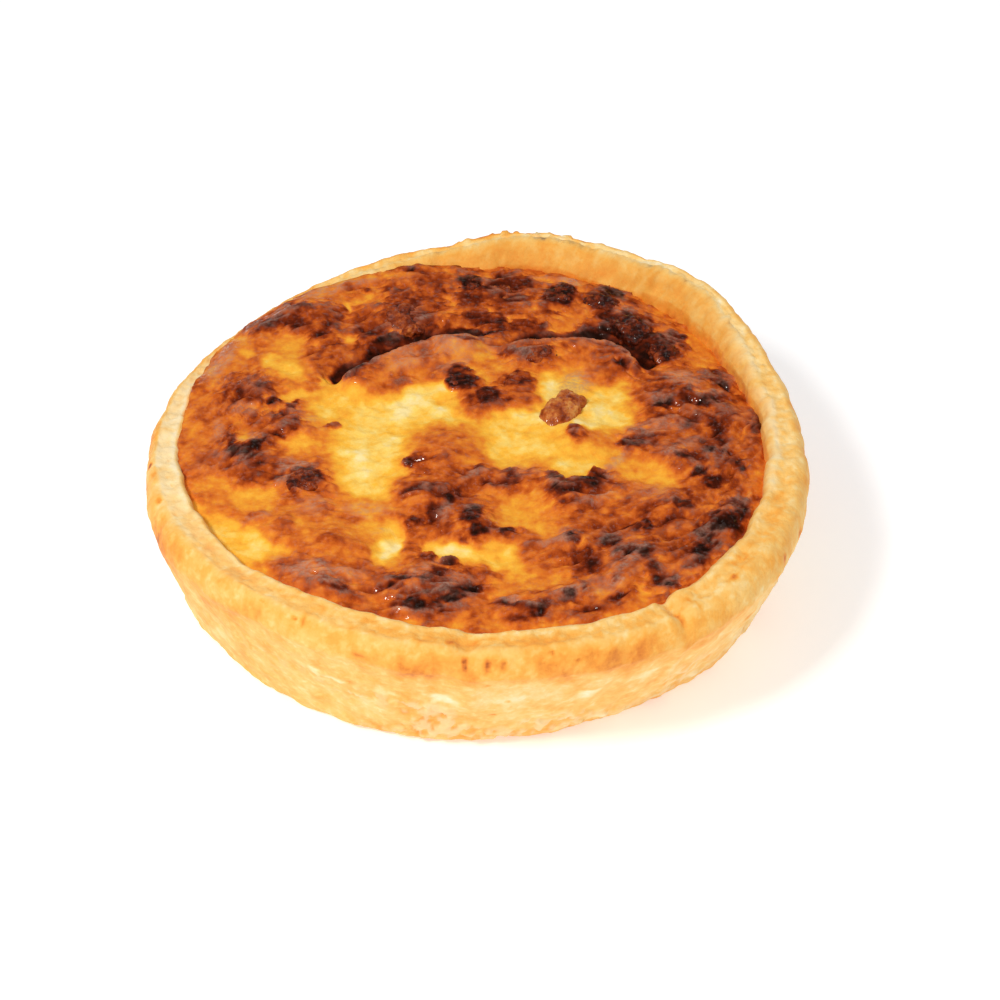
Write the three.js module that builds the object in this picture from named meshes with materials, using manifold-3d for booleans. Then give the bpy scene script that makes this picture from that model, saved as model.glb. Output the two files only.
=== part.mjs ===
// A small round quiche, about 120 mm across and 34 mm tall, as it stands on a table. A case of
// shortcrust pastry, whose cut rim rises and dips, holds a baked egg and cheese filling, and
// pieces of bacon stand out of the filling. Millimetres, +Z up, the front of the quiche at -Y.

import * as THREE from 'three';
import { mergeVertices } from 'three/addons/utils/BufferGeometryUtils.js';
import Module from 'manifold-3d';

const { degToRad, lerp, smoothstep } = THREE.MathUtils;
const wasm = await Module();
wasm.setup();

// Pastry case
const rimRadius = 58.4; // outer edge of the flat cut rim
const rimHeight = 31.8;
const rimWidth = 4.7;
const rimCornerDrop = 0.8; // how far the rim's inner edge is worn down
const baseRadius = 50.2;
const footRounding = 1.5;
const footThickness = 4.6; // of the wall, where it meets the floor
const floorThickness = 4;
const bulge = 1.8; // the dough swells this far past the rim
const bulgeDrop = 5; // and does so this far below it
const bulgeShare = 0.85; // under 1 makes the wall below the bulge convex
const roundSteps = 100; // facets round the case

// Filling
const fillingLevel = 29.1;
const fillingTilt = 1.2; // the filling stands higher at the front and lower at the back
const fillingTwist = 0.8; // and lower in the back right and front left quarters
const domeHeight = 0.8;
const domeReach = 26;
const fillingRings = 27;
const edgeCalm = 0.9; // share of the radius outside which the relief fades to the crust
const gap = 0.3; // between pieces that touch

// How outlines stray from a circle: [waves round the quiche, cosine part, sine part]
const rimOutline = [[1, 0.003, -0.018], [2, -0.018, 0.005], [3, -0.018, -0.007], [4, -0.006, -0.004]];
const baseOutline = [[1, -0.014, -0.002], [2, 0.044, 0], [3, 0, -0.024], [4, 0.017, 0]];
const rimRise = [[1, 1.8, -0.6], [2, -0.66, 1.49], [3, -0.04, -0.6]]; // in mm, over rimHeight

// Where the rim is nicked or pinched thin, by angle in degrees
const rimNicks = [
  { at: 268, reach: 3, depth: 0.8 },
  { at: 308, reach: 3, depth: 0.9 },
  { at: 222, reach: 4, depth: 0.6 },
];
const thinRim = { at: 150, reach: 34, loss: 1.6 };

// Lips where the browned skin has puffed up and split: high on the inside, with a trench behind
const lips = [
  { path: [[-26, 13], [-21, 17.5], [-16, 21.5], [-8, 25.5], [2, 27]], height: 2.3, trench: 2.6 },
  { path: [[4, 25], [12, 25.6], [18, 26], [24, 24.8], [27, 22], [29.5, 17]], height: 2, trench: 2.2 },
];
const lipReach = 5;
const lipDrop = 3.4; // how wide the steep side of a lip is
const trenchReach = 3.2;
const lipSteps = 48;

// Lumps and hollows of the baked skin: [x, y, reach, height]
const lumps = [
  [-6, -6, 6.5, 1.4], [18, -2, 4.5, 1.1], [4, -5, 7, -0.9], [-15, 4, 8, -0.6],
  [38, 9.5, 6.5, 2.3], [45, 2.5, 5, 1.2], [35, -8.5, 4.5, 1.6], [15, -18, 4.5, 1.7],
  [33, -21.5, 5, 1.5], [43, -26, 4.5, 1.8], [28, -35, 5, 1.7], [37, -37, 4, 1.3],
  [-1, -27, 4.5, 1.7], [-9, -19, 4.5, 1.4], [7, -21, 6, -0.8], [16, -31.5, 4, 1.2],
  [-10, -42, 5.5, 2], [8, -48, 4, 1.5], [16, -45, 4, 1.3], [24, -42, 4, 1.2],
  [-26, -30.5, 5, 1.5], [-34, -25, 4, 1], [-27, -41, 6, 1], [-13, -29.5, 5, -0.8],
  [-42, -5, 4.5, 1.5], [-42, 11, 5.5, 1.6], [-36, 19, 5, 0.9], [-34, 2, 4, 1.3],
  [-32, 37, 6.5, 1.3], [-6, 33, 4.5, 1.2], [-9, 48, 5, 1], [-24, 35, 4, -0.8],
  [42, -12, 5, 1], [30, -11.5, 5, -0.7],
];

// Bacon: where it lies, its length, width and height, how it is turned, and how far it stands out
const bacon = [
  { name: 'bacon_middle', at: [15.5, 6], size: [11, 6, 5], turn: 56, lift: 1.1, color: 0xb0603c },
  { name: 'bacon_twin_upper', at: [-3.2, 14.2], size: [7, 5.4, 5], turn: -50, lift: 1.6, color: 0x4a1c10 },
  { name: 'bacon_twin_lower', at: [1.4, 9.2], size: [5.2, 4.4, 4.4], turn: -60, lift: 1.2, color: 0x4a1c10 },
  { name: 'bacon_arch', at: [7, 14], size: [6.6, 5.2, 4.6], turn: 75, lift: 1.2, color: 0x8a3418 },
  { name: 'bacon_lip', at: [11, 21.7], size: [7.4, 3.8, 4], turn: 24, lift: 0.9, color: 0x6a2814 },
  { name: 'bacon_back_left', at: [23.6, 39.6], size: [7.6, 6, 5.4], turn: -42, lift: 1.8, color: 0x42180e },
  { name: 'bacon_back_middle', at: [28.8, 31.7], size: [9, 7, 6], turn: -52, lift: 2, color: 0x42180e },
  { name: 'bacon_back_right', at: [34.6, 24.2], size: [7.4, 5.6, 5], turn: -62, lift: 1.6, color: 0x42180e },
  { name: 'bacon_rear', at: [16, 42.9], size: [8.4, 6.4, 5.4], turn: 62, lift: 1.5, color: 0x5a2c1c },
  { name: 'bacon_rear_twin_1', at: [-1.2, 46], size: [6.4, 5, 4.6], turn: 70, lift: 1.3, color: 0x54200f },
  { name: 'bacon_rear_twin_2', at: [5, 44.4], size: [6.4, 4.6, 4.6], turn: -66, lift: 1.3, color: 0x5e2412 },
  { name: 'bacon_rear_left', at: [-14, 35.2], size: [10, 7.6, 5.4], turn: -58, lift: 1.5, color: 0x5c3416 },
  { name: 'bacon_left', at: [-31, -13.8], size: [7.4, 6.6, 5.4], turn: 12, lift: 1.8, color: 0x5a2a20 },
];
const baconBoxiness = 0.72; // 1 is an ellipsoid, and less is squarer
const baconDetail = 2;
const baconWarp = 0.09; // share of its size by which a piece is lumpy

// A whole turn's unevenness at an angle in radians, from waves listed as above.
function wavesAt(angle, waves) {
  return waves.reduce((sum, [n, c, s]) => sum + c * Math.cos(n * angle) + s * Math.sin(n * angle), 0);
}

// 1 at an angle in degrees and fading on both sides of it.
function nearAngle(angle, { at, reach }) {
  const away = Math.atan2(Math.sin(angle - degToRad(at)), Math.cos(angle - degToRad(at)));
  return Math.exp(-((away / degToRad(reach)) ** 2));
}

function rimTop(angle) {
  const nicked = rimNicks.reduce((sum, nick) => sum + nick.depth * nearAngle(angle, nick), 0);
  return rimHeight + wavesAt(angle, rimRise) - nicked;
}

function rimOuter(angle) {
  return rimRadius * (1 + wavesAt(angle, rimOutline));
}

function rimInner(angle) {
  return rimOuter(angle) - rimWidth + thinRim.loss * nearAngle(angle, thinRim);
}

function footOuter(angle) {
  return baseRadius * (1 + wavesAt(angle, baseOutline));
}

// Radius of the case's inner side, which slopes from the floor to the rim.
function innerRadius(angle, z) {
  const share = (z - floorThickness) / (rimTop(angle) - floorThickness);
  return lerp(footOuter(angle) - footThickness, rimInner(angle), share);
}

// Hand-pressed dough: soft dents all over, and a ragged, flaky band low on the wall.
function doughRelief(angle, z) {
  const broad = 0.3 * Math.sin(7 * angle + 0.6) * Math.cos(0.2 * z + 2 * Math.sin(2 * angle));
  const small = 0.2 * Math.sin(16 * angle + 2.2 * Math.sin(0.3 * z)) * Math.cos(0.45 * z);
  const flakes = 0.3 * Math.sin(27 * angle + 3 * Math.sin(z)) * smoothstep(11 - z, 0, 5);
  return broad + small + flakes;
}

// The case's section at one angle, from the axis under the base, out, up and back over the floor.
function caseProfile(angle) {
  const top = rimTop(angle);
  const foot = footOuter(angle);
  const outer = rimOuter(angle);
  const inner = rimInner(angle);
  const widest = top - bulgeDrop;
  const points = [[0, 0], [foot - footRounding, 0], [foot - 0.3 * footRounding, 0.3 * footRounding]];
  for (const share of [0.07, 0.19, 0.31, 0.46, 0.62, 0.8, 1]) {
    const z = share * widest;
    const slope = lerp(foot, outer + bulge, share ** bulgeShare);
    points.push([slope + doughRelief(angle, z), z]);
  }
  for (const turn of [0.35, 0.7, 0.92]) {
    const z = widest + bulgeDrop * Math.sin(turn * Math.PI / 2);
    const swell = bulge * Math.cos(turn * Math.PI / 2);
    points.push([outer + swell + (1 - turn) * doughRelief(angle, z), z]);
  }
  const crumb = 0.18 * Math.sin(23 * angle + 1) + 0.14 * Math.sin(38 * angle);
  points.push([outer - 0.2, top + crumb / 2], [lerp(outer, inner, 0.5), top + crumb]);
  points.push([inner + rimCornerDrop, top], [inner, top - rimCornerDrop]);
  for (const share of [0.62, 0.3, 0]) {
    const z = lerp(floorThickness, top - rimCornerDrop, share);
    points.push([innerRadius(angle, z), z]);
  }
  points.push([0, floorThickness]);
  return points;
}

function meshFrom(positions, index) {
  const geometry = new THREE.BufferGeometry();
  geometry.setAttribute('position', new THREE.Float32BufferAttribute(positions, 3));
  geometry.setIndex(index);
  return geometry;
}

// A closed body from a profile that changes on its way round, and starts and ends on the axis.
function turnedBody(profileAt, steps) {
  const ends = profileAt(0);
  const rings = ends.length - 2;
  const positions = [0, 0, ends[0][1], 0, 0, ends[rings + 1][1]];
  const index = [];
  const corner = (step, ring) => 2 + (step % steps) * rings + ring;
  for (let step = 0; step < steps; step++) {
    const angle = (2 * Math.PI * step) / steps;
    for (const [r, z] of profileAt(angle).slice(1, -1)) {
      positions.push(r * Math.cos(angle), r * Math.sin(angle), z);
    }
    index.push(0, corner(step + 1, 0), corner(step, 0));
    index.push(1, corner(step, rings - 1), corner(step + 1, rings - 1));
    for (let ring = 0; ring < rings - 1; ring++) {
      const [a, b] = [corner(step, ring), corner(step + 1, ring)];
      index.push(a, b, b + 1, a, b + 1, a + 1);
    }
  }
  return meshFrom(positions, index);
}

function levelAt(x, y) {
  const dome = domeHeight * Math.exp(-(x * x + y * y) / domeReach ** 2);
  return fillingLevel - (fillingTilt * y) / rimRadius - (fillingTwist * x * y) / rimRadius ** 2 + dome;
}

const lipCurves = lips.map(({ path, height, trench }) => {
  const curve = new THREE.SplineCurve(path.map(([x, y]) => new THREE.Vector2(x, y)));
  return { points: curve.getPoints(lipSteps), height, trench };
});

// Height that a split lip adds. Behind its line the skin drops into the trench.
function lipAt(x, y, { points, height, trench }) {
  const here = new THREE.Vector2(x, y);
  const distances = points.map((p) => p.distanceTo(here));
  const away = Math.min(...distances);
  const near = distances.indexOf(away);
  const share = near / lipSteps;
  const along = points[Math.min(near + 1, lipSteps)].clone().sub(points[Math.max(near - 1, 0)]);
  const behind = along.cross(here.clone().sub(points[near])) > 0;
  const fade = smoothstep(share, 0, 0.14) * smoothstep(1 - share, 0, 0.14);
  if (!behind) {
    return fade * height * Math.exp(-((away / lipReach) ** 2));
  }
  const drop = lerp(height, -trench, smoothstep(away, 0, lipDrop));
  return fade * drop * Math.exp(-((Math.max(0, away - lipDrop) / trenchReach) ** 2));
}

// The filling's top at a point of the plan, before its edge is drawn to the crust.
function skinAt(x, y) {
  let z = levelAt(x, y);
  for (const lip of lipCurves) {
    z += lipAt(x, y, lip);
  }
  for (const [cx, cy, reach, height] of lumps) {
    z += height * Math.exp(-((x - cx) ** 2 + (y - cy) ** 2) / reach ** 2);
  }
  const wrinkled = smoothstep(x - 0.6 * y, 0, 24);
  z += 0.35 * wrinkled * Math.sin(0.95 * x - 0.55 * y) * Math.sin(0.5 * x + 0.62 * y + 1);
  z += 0.22 * Math.sin(0.61 * x + 0.9 * y) + 0.18 * Math.sin(0.93 * x - 0.48 * y + 2);
  return z;
}

// The filling: a plug that fits the case, its top a disc of rings with six more points each.
function fillingBody() {
  const positions = [0, 0, skinAt(0, 0)];
  const index = [];
  for (let ring = 1; ring <= fillingRings; ring++) {
    for (let step = 0; step < 6 * ring; step++) {
      const angle = (2 * Math.PI * step) / (6 * ring);
      const share = ring / fillingRings;
      const edgeZ = levelAt(rimRadius * Math.cos(angle), rimRadius * Math.sin(angle));
      const radius = share * (innerRadius(angle, edgeZ) - gap);
      const [x, y] = [radius * Math.cos(angle), radius * Math.sin(angle)];
      positions.push(x, y, lerp(skinAt(x, y), edgeZ, smoothstep(share, edgeCalm, 1)));
    }
  }
  const first = (ring) => (ring ? 1 + 3 * ring * (ring - 1) : 0);
  const corner = (ring, step) => first(ring) + (ring ? step % (6 * ring) : 0);
  for (let ring = 0; ring < fillingRings; ring++) {
    for (let side = 0; side < 6; side++) {
      for (let k = 0; k <= ring; k++) {
        const [inside, outside] = [side * ring + k, side * (ring + 1) + k];
        index.push(corner(ring, inside), corner(ring + 1, outside), corner(ring + 1, outside + 1));
        if (k < ring) {
          index.push(corner(ring, inside), corner(ring + 1, outside + 1), corner(ring, inside + 1));
        }
      }
    }
  }
  const around = 6 * fillingRings;
  const edge = first(fillingRings);
  const foot = positions.length / 3;
  const bottom = floorThickness + gap;
  for (let step = 0; step < around; step++) {
    const angle = (2 * Math.PI * step) / around;
    const radius = innerRadius(angle, bottom) - gap;
    positions.push(radius * Math.cos(angle), radius * Math.sin(angle), bottom);
  }
  positions.push(0, 0, bottom);
  for (let step = 0; step < around; step++) {
    const next = (step + 1) % around;
    index.push(edge + step, foot + step, foot + next, edge + step, foot + next, edge + next);
    index.push(foot + around, foot + next, foot + step);
  }
  return meshFrom(positions, index);
}

// One piece of bacon: a block with soft corners and lumpy sides. Spare makes its pocket.
function baconShape(size, seed, spare) {
  const geometry = new THREE.IcosahedronGeometry(1, baconDetail);
  geometry.deleteAttribute('normal');
  geometry.deleteAttribute('uv');
  const body = mergeVertices(geometry, 1e-4);
  const position = body.getAttribute('position');
  for (let i = 0; i < position.count; i++) {
    const [x, y, z] = [position.getX(i), position.getY(i), position.getZ(i)];
    const warp = 1 + baconWarp * (Math.sin(5 * x + seed) + Math.sin(4 * y - 3 * z + 2 * seed));
    const sides = [x, y, z].map((v) => warp * Math.sign(v) * Math.abs(v) ** baconBoxiness);
    position.setXYZ(i, ...sides.map((v, k) => v * (size[k] / 2 + spare)));
  }
  return body;
}

function solidOf(geometry, matrix = new THREE.Matrix4()) {
  const moved = geometry.clone().applyMatrix4(matrix);
  const vertProperties = new Float32Array(moved.getAttribute('position').array);
  const triVerts = new Uint32Array(moved.index.array);
  return new wasm.Manifold(new wasm.Mesh({ numProp: 3, vertProperties, triVerts }));
}

function geometryOf(solid) {
  const { vertProperties, triVerts } = solid.getMesh();
  return meshFrom(vertProperties, Array.from(triVerts));
}

function baked(color, roughness) {
  return new THREE.MeshStandardMaterial({ color, roughness, metalness: 0 });
}

function named(name, geometry, material) {
  const mesh = new THREE.Mesh(geometry, material);
  mesh.name = name;
  return mesh;
}

const crust = named('crust', turnedBody(caseProfile, roundSteps), baked(0xe8bb74, 0.75));

const baconPieces = bacon.map(({ name, at: [x, y], size, turn, lift, color }, i) => {
  const piece = named(name, baconShape(size, i, 0), baked(color, 0.4));
  piece.position.set(x, y, skinAt(x, y) + lift - size[2] / 2);
  piece.rotation.z = degToRad(turn);
  piece.updateMatrix();
  return piece;
});

// Each piece of bacon lies in a pocket of the filling that clears it.
let fillingSolid = solidOf(fillingBody());
baconPieces.forEach((piece, i) => {
  fillingSolid = fillingSolid.subtract(solidOf(baconShape(bacon[i].size, i, gap), piece.matrix));
});
const [plug] = fillingSolid.decompose().sort((a, b) => b.volume() - a.volume());
const filling = named('filling', geometryOf(plug), baked(0xd08428, 0.45));

// The quiche stands with the middle of its outline over the origin.
const quiche = new THREE.Group();
quiche.name = 'quiche';
const middle = new THREE.Box3().setFromObject(crust).getCenter(new THREE.Vector3());
for (const piece of [crust, filling, ...baconPieces]) {
  piece.position.x -= middle.x;
  piece.position.y -= middle.y;
  quiche.add(piece);
}

export default quiche;
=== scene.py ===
import itertools
import math

import bmesh
import bpy
import numpy as np
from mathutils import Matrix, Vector


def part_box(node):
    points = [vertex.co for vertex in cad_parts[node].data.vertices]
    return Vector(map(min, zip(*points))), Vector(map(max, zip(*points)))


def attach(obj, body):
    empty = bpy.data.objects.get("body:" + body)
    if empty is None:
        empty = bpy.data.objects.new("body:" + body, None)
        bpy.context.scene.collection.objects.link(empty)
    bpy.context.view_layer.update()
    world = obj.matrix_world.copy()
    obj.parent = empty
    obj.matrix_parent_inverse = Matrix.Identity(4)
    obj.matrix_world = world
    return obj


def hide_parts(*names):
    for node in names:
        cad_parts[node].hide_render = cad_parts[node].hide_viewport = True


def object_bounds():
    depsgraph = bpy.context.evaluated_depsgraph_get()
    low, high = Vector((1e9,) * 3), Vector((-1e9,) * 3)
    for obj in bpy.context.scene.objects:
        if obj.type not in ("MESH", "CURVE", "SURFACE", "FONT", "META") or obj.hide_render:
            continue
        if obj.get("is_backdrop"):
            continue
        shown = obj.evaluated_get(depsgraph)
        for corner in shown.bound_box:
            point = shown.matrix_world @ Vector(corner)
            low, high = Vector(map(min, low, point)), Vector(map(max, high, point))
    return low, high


# A small round quiche: a shortcrust case, its browned egg and cheese filling, and the bacon in it.
# Forms are worked out in millimetres and become metres when a mesh is made. The front is at -Y.

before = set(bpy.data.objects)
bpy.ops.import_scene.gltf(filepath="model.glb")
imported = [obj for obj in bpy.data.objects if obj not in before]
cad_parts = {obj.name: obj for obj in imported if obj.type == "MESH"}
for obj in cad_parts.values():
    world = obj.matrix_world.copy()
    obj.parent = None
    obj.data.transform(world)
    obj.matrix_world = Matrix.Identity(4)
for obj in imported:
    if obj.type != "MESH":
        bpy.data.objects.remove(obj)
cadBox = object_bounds()
print("frame loaded")

millimetre = 0.001
quality = 1.0
outlineMiddle = (-0.701, -0.755)  # middle of the case's outline, from the axis that it is drawn round


# Small helpers: shares, noise, meshes and nodes

def ease(value, start, end):
    share = np.clip((value - start) / (end - start), 0, 1)
    return share * share * (3 - 2 * share)


def mix(a, b, share):
    return a + (b - a) * share


noiseSource = np.random.default_rng(23)
noiseOrder = np.tile(noiseSource.permutation(256), 3)
noiseSlopes = noiseSource.normal(size=(256, 3))
noiseSlopes /= np.linalg.norm(noiseSlopes, axis=1)[:, None]


def noise(points, size, seed=0):
    # Smooth lumps about size mm apart, from about -1 to 1
    scaled = points / size + 19.7 * (seed + 1)
    cell = np.floor(scaled).astype(int)
    inside = scaled - cell
    blend = inside ** 3 * (inside * (inside * 6 - 15) + 10)
    total = np.zeros(len(points))
    for corner in itertools.product((0, 1), repeat=3):
        x, y, z = ((cell + corner) & 255).T
        slope = noiseSlopes[noiseOrder[noiseOrder[noiseOrder[x] + y] + z]]
        weight = np.prod(np.where(corner, blend, 1 - blend), axis=1)
        total += weight * np.sum(slope * (inside - corner), axis=1)
    return 1.7 * total


def layered(points, layers):
    # Noise laid over noise. A layer is its height, the size of its lumps in mm, and its seed.
    return sum(height * noise(points, size, seed) for height, size, seed in layers)


def ridges(points, size, seed=0):
    # Thin crests at 1 with rounded valleys between them
    return 1 - 2.4 * np.abs(noise(points, size, seed))


def planPoints(x, y):
    return np.stack([x, y, np.zeros_like(x)], axis=1)


def turned(x, y, degrees):
    # A place read along and across a line that is turned by so many degrees
    c, s = math.cos(math.radians(degrees)), math.sin(math.radians(degrees))
    return x * c + y * s, y * c - x * s


def spotShare(x, y, spot, soft):
    # 1 inside an ellipse and 0 outside, over a soft edge that is a share of its size
    cx, cy, halfLength, halfWidth, turn = spot[:5]
    along, across = turned(x - cx, y - cy, turn)
    return 1 - ease(np.hypot(along / halfLength, across / halfWidth), 1 - soft, 1 + soft)


def makePiece(name, points, faces, attributes, material):
    # A smooth mesh piece in metres, with a value for each named attribute at every point
    centred = np.array(points) - (*outlineMiddle, 0)
    mesh = bpy.data.meshes.new(name)
    mesh.from_pydata((centred * millimetre).tolist(), [], faces)
    for attributeName, values in attributes.items():
        attribute = mesh.attributes.new(attributeName, "FLOAT", "POINT")
        attribute.data.foreach_set("value", np.array(values, dtype=np.float32))
    mesh.shade_smooth()
    mesh.materials.append(material)
    piece = bpy.data.objects.new(name, mesh)
    bpy.context.collection.objects.link(piece)
    return piece


def toLinear(hexColour):
    channels = [int(hexColour[i:i + 2], 16) / 255 for i in (0, 2, 4)]
    return [c / 12.92 if c <= 0.04045 else ((c + 0.055) / 1.055) ** 2.4 for c in channels] + [1]


def addNode(tree, kind, inputs=None, stops=None, **settings):
    # Adds a node with its settings. An input is a value or another node's output.
    node = tree.nodes.new("ShaderNode" + kind)
    for setting, value in settings.items():
        setattr(node, setting, value)
    for socket, value in (inputs or {}).items():
        if isinstance(value, bpy.types.NodeSocket):
            tree.links.new(value, node.inputs[socket])
        else:
            node.inputs[socket].default_value = value
    if stops:
        elements = node.color_ramp.elements
        elements.remove(elements[1])
        for number, (position, colour) in enumerate(stops):
            element = elements.new(position) if number else elements[0]
            element.position = position
            element.color = toLinear(colour)
    return node


def newMaterial(name):
    material = bpy.data.materials.new(name)
    material.use_nodes = True
    material.node_tree.nodes.clear()
    return material, material.node_tree


def perMetre(size):
    return 1 / (size * millimetre)  # a texture's scale for lumps of that many mm


# Camera and studio

studio = {
    "cameraPlace": (0, -396.9, 350.9),
    "cameraAim": (3.69, -0.74, 14.1),
    "lens": 102,
    "roomLight": 0.45,
    "tableGlow": 0.33,
    "tableHalfWidth": 4000,
    "lampAimHeight": 20,
    "softboxes": [  # name, place in mm, width in mm, power in watts, colour
        ("keyLamp", (-282, -313, 559), 120, 2.4, "fffaf2"),
        ("backSoftbox", (-260, 320, 600), 500, 0.2, "fffdfa"),
        ("frontSoftbox", (-60, -640, 420), 500, 0.4, "fffdfa"),
        ("rightSoftbox", (520, -60, 420), 500, 0.5, "fffdfa"),
    ],
}


def onTable(x, y, z):
    return Vector((x - outlineMiddle[0], y - outlineMiddle[1], z)) * millimetre


def aimAt(thing, target):
    thing.rotation_euler = (target - thing.location).to_track_quat("-Z", "Y").to_euler()


cameraData = bpy.data.cameras.new("camera")
cameraData.lens = studio["lens"]
cameraData.clip_start = 0.01
camera = bpy.data.objects.new("camera", cameraData)
camera.location = onTable(*studio["cameraPlace"])
aimAt(camera, onTable(*studio["cameraAim"]))
bpy.context.collection.objects.link(camera)
bpy.context.scene.camera = camera

for name, place, width, power, colour in studio["softboxes"]:
    lightData = bpy.data.lights.new(name, "AREA")
    lightData.size = width * millimetre
    lightData.energy = power
    lightData.color = toLinear(colour)[:3]
    light = bpy.data.objects.new(name, lightData)
    light.location = onTable(*place)
    aimAt(light, Vector((0, 0, studio["lampAimHeight"])) * millimetre)
    bpy.context.collection.objects.link(light)

world = bpy.data.worlds.new("studio")
world.use_nodes = True
world.node_tree.nodes["Background"].inputs["Color"].default_value = toLinear("ffffff")
world.node_tree.nodes["Background"].inputs["Strength"].default_value = studio["roomLight"]
bpy.context.scene.world = world
bpy.context.scene.view_settings.view_transform = "Standard"


def makeFloor():
    # White card under a broad light: matt, with a glow that stands for light thrown back from
    # all round, so it shows pure white and the shadow on it stays faint.
    material, tree = newMaterial("whiteCardSweep")
    grain = addNode(tree, "TexNoise", {"Scale": perMetre(40)})
    colour = addNode(tree, "ValToRGB", {"Fac": grain.outputs["Fac"]}, [(0, "f2f6fc"), (1, "f7faff")])
    shader = addNode(tree, "BsdfPrincipled", {
        "Base Color": colour.outputs["Color"], "Roughness": 0.9, "Specular IOR Level": 0.1,
        "Emission Color": toLinear("ffffff"), "Emission Strength": studio["tableGlow"],
    })
    addNode(tree, "OutputMaterial", {"Surface": shader.outputs["BSDF"]})
    mesh = bpy.data.meshes.new("floor")
    half = studio["tableHalfWidth"] * millimetre
    corners = [(-half, -half, 0), (half, -half, 0), (half, half, 0), (-half, half, 0)]
    mesh.from_pydata(corners, [], [(0, 1, 2, 3)])
    mesh.materials.append(material)
    floor = bpy.data.objects.new("floor", mesh)
    bpy.context.collection.objects.link(floor)
    floor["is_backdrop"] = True


makeFloor()
print("camera, floor and light made")


# The pastry case

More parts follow.
